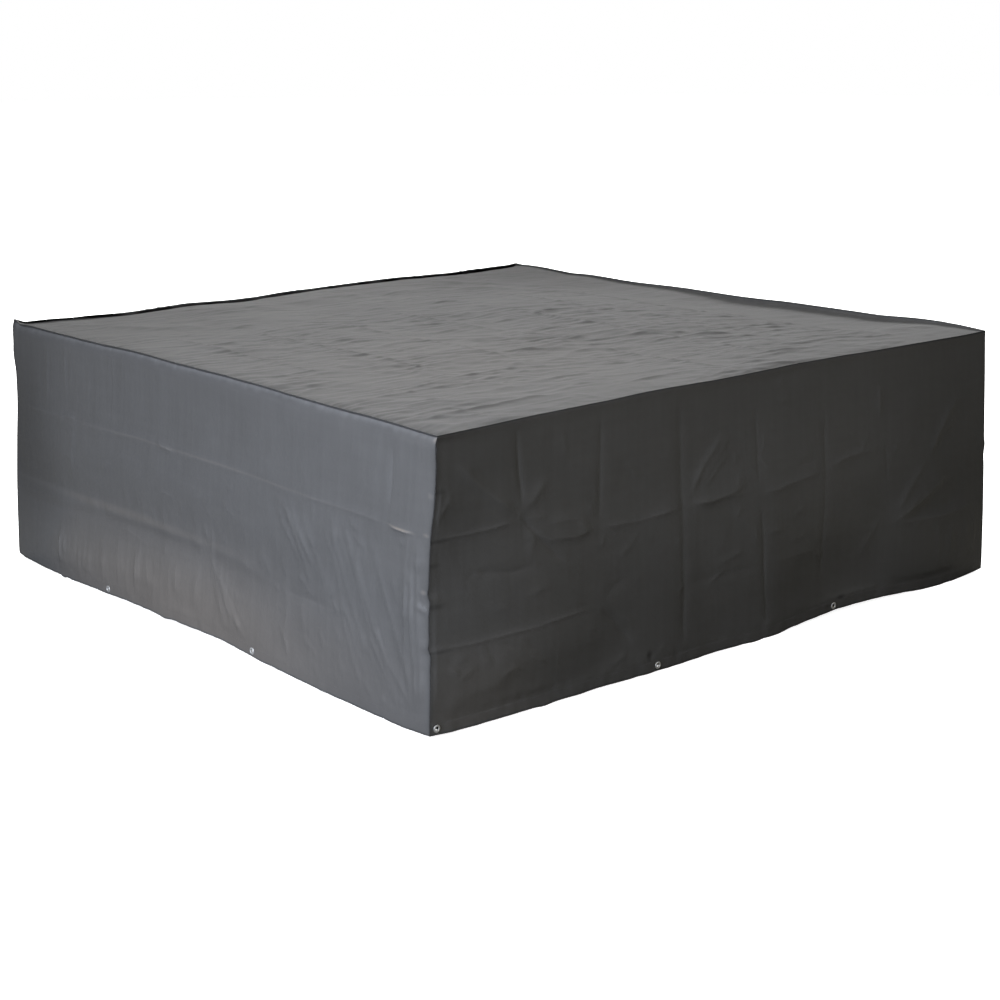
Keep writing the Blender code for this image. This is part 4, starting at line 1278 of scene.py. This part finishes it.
def cloth_finish(name):
    """Grey coated sheet woven from flat tape: faint tape lines, mottling, fine creases, fold edges worn
    light on the sides and darkened by painted shadow on the top, and painted light and shade."""
    made = Nodes(name + "_weave")
    cloth = made.add("ShaderNodeAttribute", attribute_name="cloth").outputs["Vector"]
    wear = made.add("ShaderNodeAttribute", attribute_name="wear").outputs["Fac"]
    shade = made.add("ShaderNodeAttribute", attribute_name="shade").outputs["Fac"]
    apart = made.add("ShaderNodeSeparateXYZ", {0: cloth})
    u, v = apart.outputs[0], apart.outputs[1]

    def field(scale, stretch, detail=2.0):
        spot = made.add("ShaderNodeVectorMath", {0: cloth, 1: stretch}, operation="MULTIPLY")
        return made.add("ShaderNodeTexNoise", {
            "Vector": spot.outputs[0], "Scale": scale, "Detail": detail, "Roughness": 0.5,
        }).outputs["Fac"]

    mottle = field(7.0, (1.0, 1.0, 1.0), 4.0)
    streak_up = field(60.0, (1.0, 0.05, 1.0))
    streak_across = field(60.0, (0.05, 1.0, 1.0))
    grain = field(420.0, (1.0, 1.0, 1.0))
    patterns = {"mottle": mottle, "streak_up": streak_up, "streak_across": streak_across,
                "wear": wear, "grain": grain}
    tone = PLAIN_TONE
    for kind, strength in TONES.items():
        tone = made.maths("MULTIPLY_ADD", patterns[kind], strength, tone)

    # weave of flat tapes, over and under in turn
    across_u = made.maths("MULTIPLY", u, math.pi / TAPE)
    across_v = made.maths("MULTIPLY", v, math.pi / TAPE)
    weave = made.maths("MULTIPLY", made.maths("SINE", across_u), made.maths("SINE", across_v))
    stitches = stitch_line(made, u, v)
    relief = made.maths("MULTIPLY_ADD", weave, WEAVE_HEIGHT,
                        made.maths("MULTIPLY", grain, GRAIN_HEIGHT))
    for crease in CREASES[name]:
        ridge, edge = crease_lines(made, cloth, crease)
        relief = made.maths("MULTIPLY_ADD", ridge, crease.height, relief)
        # The crease's edge is worn lighter on the sides and darkened by a painted shadow on the top.
        tone = made.maths("MULTIPLY_ADD", edge, crease.mark, tone)
    relief = made.maths("MULTIPLY_ADD", stitches, STITCH_HEIGHT, relief)
    # The shade attribute darkens the colour with painted shade and lightens it with painted light.
    tone = made.maths("MULTIPLY", tone, made.maths("SUBTRACT", 1.0, shade))
    base = made.add("ShaderNodeVectorMath", {0: CLOTH_COLOUR[:3], "Scale": tone}, operation="SCALE")
    # Where it is painted lighter, the cloth is also painted warmer.
    painted_light_amount = made.maths("MAXIMUM", made.maths("MULTIPLY", shade, -1.0), 0.0)
    painted_light_amount = made.add("ShaderNodeCombineXYZ", {0: painted_light_amount, 1: painted_light_amount, 2: painted_light_amount}).outputs[0]
    tint = made.add("ShaderNodeVectorMath", {0: painted_light_amount, 1: PAINTED_LIGHT_TINT, 2: (1.0, 1.0, 1.0)},
                    operation="MULTIPLY_ADD")
    toned = made.add("ShaderNodeVectorMath", {0: base.outputs[0], 1: tint.outputs[0]},
                     operation="MULTIPLY")
    made.put(made.shader, "Base Color", toned.outputs[0])
    bump = made.add("ShaderNodeBump", {"Height": relief, "Strength": 1.0, "Distance": 1.0})
    made.put(made.shader, "Normal", bump.outputs[0])
    rough = made.maths("MULTIPLY_ADD", mottle, ROUGHNESS_RANGE, CLOTH_ROUGHNESS)
    made.put(made.shader, "Roughness", rough)
    # Painted shade dulls the shine, and painted light raises it.
    shine = made.maths("MULTIPLY_ADD", shade, -SHADE_DULLS, CLOTH_SHINE)
    made.put(made.shader, "Specular IOR Level", shine)
    return made.material


def crease_lines(made, cloth, crease):
    """Fine crooked ridges, missing in places, and the thin line along each ridge's edge."""
    place = made.add("ShaderNodeMapping", {
        "Vector": cloth, "Location": (crease.seed, crease.seed, 0.0),
        "Rotation": (0.0, 0.0, math.radians(crease.angle)),
        "Scale": (crease.length, crease.spacing, 1.0),
    }, vector_type="TEXTURE")
    pattern = made.add("ShaderNodeTexNoise", {
        "Vector": place.outputs[0], "Scale": 1.0, "Detail": 1.0, "Roughness": 0.3,
        "Distortion": 0.2,
    }).outputs["Fac"]
    away = made.maths("ABSOLUTE", made.maths("SUBTRACT", pattern, 0.5))
    patch = made.add("ShaderNodeTexNoise", {"Vector": cloth, "Scale": 4.5, "Detail": 1.0})
    share = made.add("ShaderNodeMapRange", {
        "Value": patch.outputs["Fac"], "From Min": 0.34, "From Max": 0.58, "To Min": 0.30,
    }).outputs["Result"]
    lines = []
    for steepness in (crease.sharp, crease.sharp * 5):
        line = made.maths("MAXIMUM", made.maths("MULTIPLY_ADD", away, -steepness, 1.0), 0.0)
        lines.append(made.maths("MULTIPLY", line, share))
    return lines


def stitch_line(made, u, v):
    """1 on the thread of the hem's row of stitches, on both layers."""
    first = made.maths("ABSOLUTE", made.maths("SUBTRACT", v, STITCH_RUN))
    other = made.maths("ABSOLUTE", made.maths("SUBTRACT", v, STITCH_BACK))
    near = made.maths("LESS_THAN", made.maths("MINIMUM", first, other), STITCH_WIDTH / 2)
    phase = made.maths("FRACT", made.maths("DIVIDE", u, STITCH_LENGTH))
    return made.maths("MULTIPLY", near, made.maths("LESS_THAN", phase, STITCH_SHARE))


def metal_finish():
    made = Nodes("pressed_metal")
    place = made.add("ShaderNodeTexCoord").outputs["Object"]
    scuff = made.add("ShaderNodeTexNoise", {"Vector": place, "Scale": 900.0, "Detail": 3.0})
    tarnish = made.add("ShaderNodeTexNoise", {"Vector": place, "Scale": 160.0, "Detail": 2.0})
    rough = made.maths("MULTIPLY_ADD", scuff.outputs["Fac"], SCUFF, METAL_ROUGHNESS)
    made.put(made.shader, "Roughness", rough)
    shade = made.maths("MULTIPLY_ADD", tarnish.outputs["Fac"], TARNISH, 0.75)
    base = made.add("ShaderNodeVectorMath", {0: METAL_COLOUR[:3], "Scale": shade},
                    operation="SCALE")
    made.put(made.shader, "Base Color", base.outputs[0])
    made.shader.inputs["Metallic"].default_value = METALLIC
    return made.material


CLOTH_COLOUR = (0.090, 0.090, 0.091, 1.0)
CLOTH_ROUGHNESS = 0.36
ROUGHNESS_RANGE = 0.10
CLOTH_SHINE = 0.5
SHADE_DULLS = 0.4                       # painted shade takes this share of shine away, and painted light adds it
PAINTED_LIGHT_TINT = (0.20, 0.00, -0.20)         # cloth painted lighter is painted warmer too
# The cloth's tone with no pattern on it, and how much each pattern lightens it; the fold-edge marks
# darken it below 0 as painted crease shadow.
PLAIN_TONE = 0.835
TONES = {"mottle": 0.20, "streak_up": 0.17, "streak_across": 0.09, "wear": 0.28, "grain": 0.10}
METAL_COLOUR = (0.84, 0.84, 0.83, 1.0)
METALLIC = 0.66                         # dull, as the plating has worn
METAL_ROUGHNESS = 0.30
SCUFF = 0.25
TARNISH = 0.30
TAPE = 0.0016                           # width of the woven tape
WEAVE_HEIGHT = 0.00006
GRAIN_HEIGHT = 0.00010
STITCH_HEIGHT = 0.00035
STITCH_RUN = BAND_TOP + 0.004           # on the outer layer,
STITCH_BACK = 2 * HEIGHT + math.pi * FOLD_TURN - STITCH_RUN     # and on the turned one
STITCH_WIDTH = 0.0009
STITCH_LENGTH = 0.0045
STITCH_SHARE = 0.72                     # the rest of a stitch's length is the gap

# Fine creases, too thin for the mesh: the angle they run along, the length and spacing of the pattern,
# how steeply a ridge falls away, its height, and how its edge is marked: worn lighter above 0, and a
# painted shadow in the crease below 0.
Crease = namedtuple("Crease", "angle length spacing sharp height mark seed")
SIDE_CREASES = (
    Crease(86, 0.300, 0.040, 5.0, 0.0002, 0.01, 3.0),
    Crease(12, 0.160, 0.060, 5.0, 0.0002, 0.01, 4.0),
)
CREASES = {
    "top": (
        Crease(6, 0.200, 0.034, 4.0, 0.0007, -0.05, 1.0),
        Crease(20, 0.120, 0.030, 4.0, 0.0004, -0.03, 2.0),
    ),
    "front": SIDE_CREASES,
    "right": SIDE_CREASES,
    "back": SIDE_CREASES,
    "left": (
        Crease(89, 0.240, 0.046, 4.0, 0.0003, 0.01, 5.0),
        Crease(70, 0.160, 0.050, 5.0, 0.0003, 0.02, 6.0),
    ),
}
CLOTH_FINISHES = {name: cloth_finish(name) for name in CREASES}
METAL_FINISH = metal_finish()


# ================================================================ floor, light and camera
def floor():
    """A pale studio floor that takes soft shadows and meets the white room without a line."""
    bpy.ops.mesh.primitive_circle_add(vertices=96, radius=FLOOR_REACH, fill_type="NGON",
                                      location=(0.0, 0.0, CAD_BOX[0].z - 0.001))
    ground = bpy.context.object
    ground.name = "floor"
    made = Nodes("pale_floor")
    place = made.add("ShaderNodeTexCoord").outputs["Object"]
    away = made.add("ShaderNodeVectorMath", {0: place}, operation="LENGTH").outputs["Value"]
    glow = made.add("ShaderNodeMapRange", {
        "Value": away, "From Min": GLOW_NEAR, "From Max": GLOW_FAR, "To Min": FLOOR_GLOW,
        "To Max": 1.0,
    }).outputs["Result"]
    made.shader.inputs["Base Color"].default_value = FLOOR_COLOUR
    made.shader.inputs["Roughness"].default_value = 0.9
    made.shader.inputs["Specular IOR Level"].default_value = 0.0
    made.shader.inputs["Emission Color"].default_value = (1.0, 1.0, 1.0, 1.0)
    # under the cover the floor doesn't glow, so that the eyelets' holes are dark
    apart = made.add("ShaderNodeSeparateXYZ", {0: place})
    reach = made.maths("MAXIMUM", made.maths("ABSOLUTE", apart.outputs[0]),
                       made.maths("ABSOLUTE", apart.outputs[1]))
    glow = made.maths("MULTIPLY", glow, made.maths("GREATER_THAN", reach, DARK_FLOOR))
    made.put(made.shader, "Emission Strength", glow)
    seen = made.add("ShaderNodeLightPath").outputs["Is Camera Ray"]
    bounce = made.add("ShaderNodeBsdfDiffuse", {"Color": FLOOR_BOUNCE})
    choose = made.add("ShaderNodeMixShader", {
        0: seen, 1: bounce.outputs[0], 2: made.shader.outputs[0],
    })
    made.put(made.tree.nodes["Material Output"], 0, choose.outputs[0])
    ground.data.materials.append(made.material)
    return ground


# A lamp without gloss lights the cloth but isn't mirrored in it.
Lamp = namedtuple("Lamp", "place aim size radiance colour gloss", defaults=(True,))
LAMPS = {
    "key": Lamp((-3.9, -1.25, 0.6), (-1.0, -0.4, -0.42), (1.7, 2.0), 14.0, (0.785, 0.855, 1.0)),
    "fill": Lamp((-4.5, -3.6, 1.9), (0.0, -1.0, -0.35), (1.6, 1.6), 4.3, (1.0, 0.88, 0.58)),
    "behind": Lamp((13.8, 16.0, 6.6), (0.0, 0.0, 0.0), (10.0, 5.6), 112.0, (1.0, 1.0, 1.0), False),
    "backdrop": Lamp((3.6, 4.6, 2.7), (0.0, 0.0, 0.3), (12.0, 2.8), 0.30, (1.0, 1.0, 1.0)),
    "overhead": Lamp((-0.9, -1.3, 3.3), (-0.2, -0.2, 0.0), (2.8, 2.8), 3.5, (1.0, 0.99, 0.97)),
}


def soft_light(name, lamp):
    light = bpy.data.lights.new(name, "AREA")
    light.shape = "RECTANGLE"
    light.size, light.size_y = lamp.size
    light.energy = lamp.radiance * math.pi * lamp.size[0] * lamp.size[1]
    light.color = lamp.colour
    stand = bpy.data.objects.new(name, light)
    bpy.context.scene.collection.objects.link(stand)
    stand.location = lamp.place
    facing = (Vector(lamp.aim) - Vector(lamp.place)).to_track_quat("-Z", "Y")
    stand.rotation_euler = facing.to_euler()
    stand.visible_camera = False
    stand.visible_glossy = lamp.gloss


def studio():
    world = bpy.data.worlds.new("studio")
    bpy.context.scene.world = world
    world.use_nodes = True
    tree = world.node_tree
    room = tree.nodes["Background"]
    room.inputs["Color"].default_value = (1.0, 0.98, 0.94, 1.0)
    room.inputs["Strength"].default_value = ROOM_LIGHT
    backdrop = tree.nodes.new("ShaderNodeBackground")
    backdrop.inputs["Color"].default_value = (1.0, 1.0, 1.0, 1.0)
    rays = tree.nodes.new("ShaderNodeLightPath")
    choose = tree.nodes.new("ShaderNodeMixShader")
    tree.links.new(rays.outputs["Is Camera Ray"], choose.inputs[0])
    tree.links.new(room.outputs[0], choose.inputs[1])
    tree.links.new(backdrop.outputs[0], choose.inputs[2])
    tree.links.new(choose.outputs[0], tree.nodes["World Output"].inputs[0])
    for name, lamp in LAMPS.items():
        soft_light(name, lamp)
    bpy.context.scene.view_settings.view_transform = "Standard"
    bpy.context.scene.view_settings.look = "None"


FLOOR_REACH = 30.0
FLOOR_COLOUR = (0.80, 0.80, 0.80, 1.0)
FLOOR_BOUNCE = (0.125, 0.120, 0.105, 1.0)
FLOOR_GLOW = 0.93       # as the camera sees it up to GLOW_NEAR, and white from GLOW_FAR
GLOW_NEAR = 2.5
GLOW_FAR = 8.0
DARK_FLOOR = HALF - 0.020
ROOM_LIGHT = 0.10

EYE = (-3.583, -4.214, 0.9134)
LOOK_ANGLE = 49.34      # degrees in plan, from +X towards +Y
LOOK_DOWN = 14.50
ROLL = 0.36
LENS = 69.05


def camera():
    data = bpy.data.cameras.new("camera")
    data.lens = LENS
    data.sensor_width = 36.0
    eye = bpy.data.objects.new("camera", data)
    bpy.context.scene.collection.objects.link(eye)
    plan, down = math.radians(LOOK_ANGLE), math.radians(LOOK_DOWN)
    look = Vector((math.cos(plan) * math.cos(down), math.sin(plan) * math.cos(down),
                   -math.sin(down)))
    turn = look.to_track_quat("-Z", "Y").to_matrix() @ Matrix.Rotation(math.radians(-ROLL), 3, "Z")
    eye.matrix_world = Matrix.Translation(EYE) @ turn.to_4x4()
    bpy.context.scene.camera = eye


camera()
studio()
floor()
top_sheet()
for each_side in SIDES:
    side_sheet(each_side)
    eyelets(each_side)
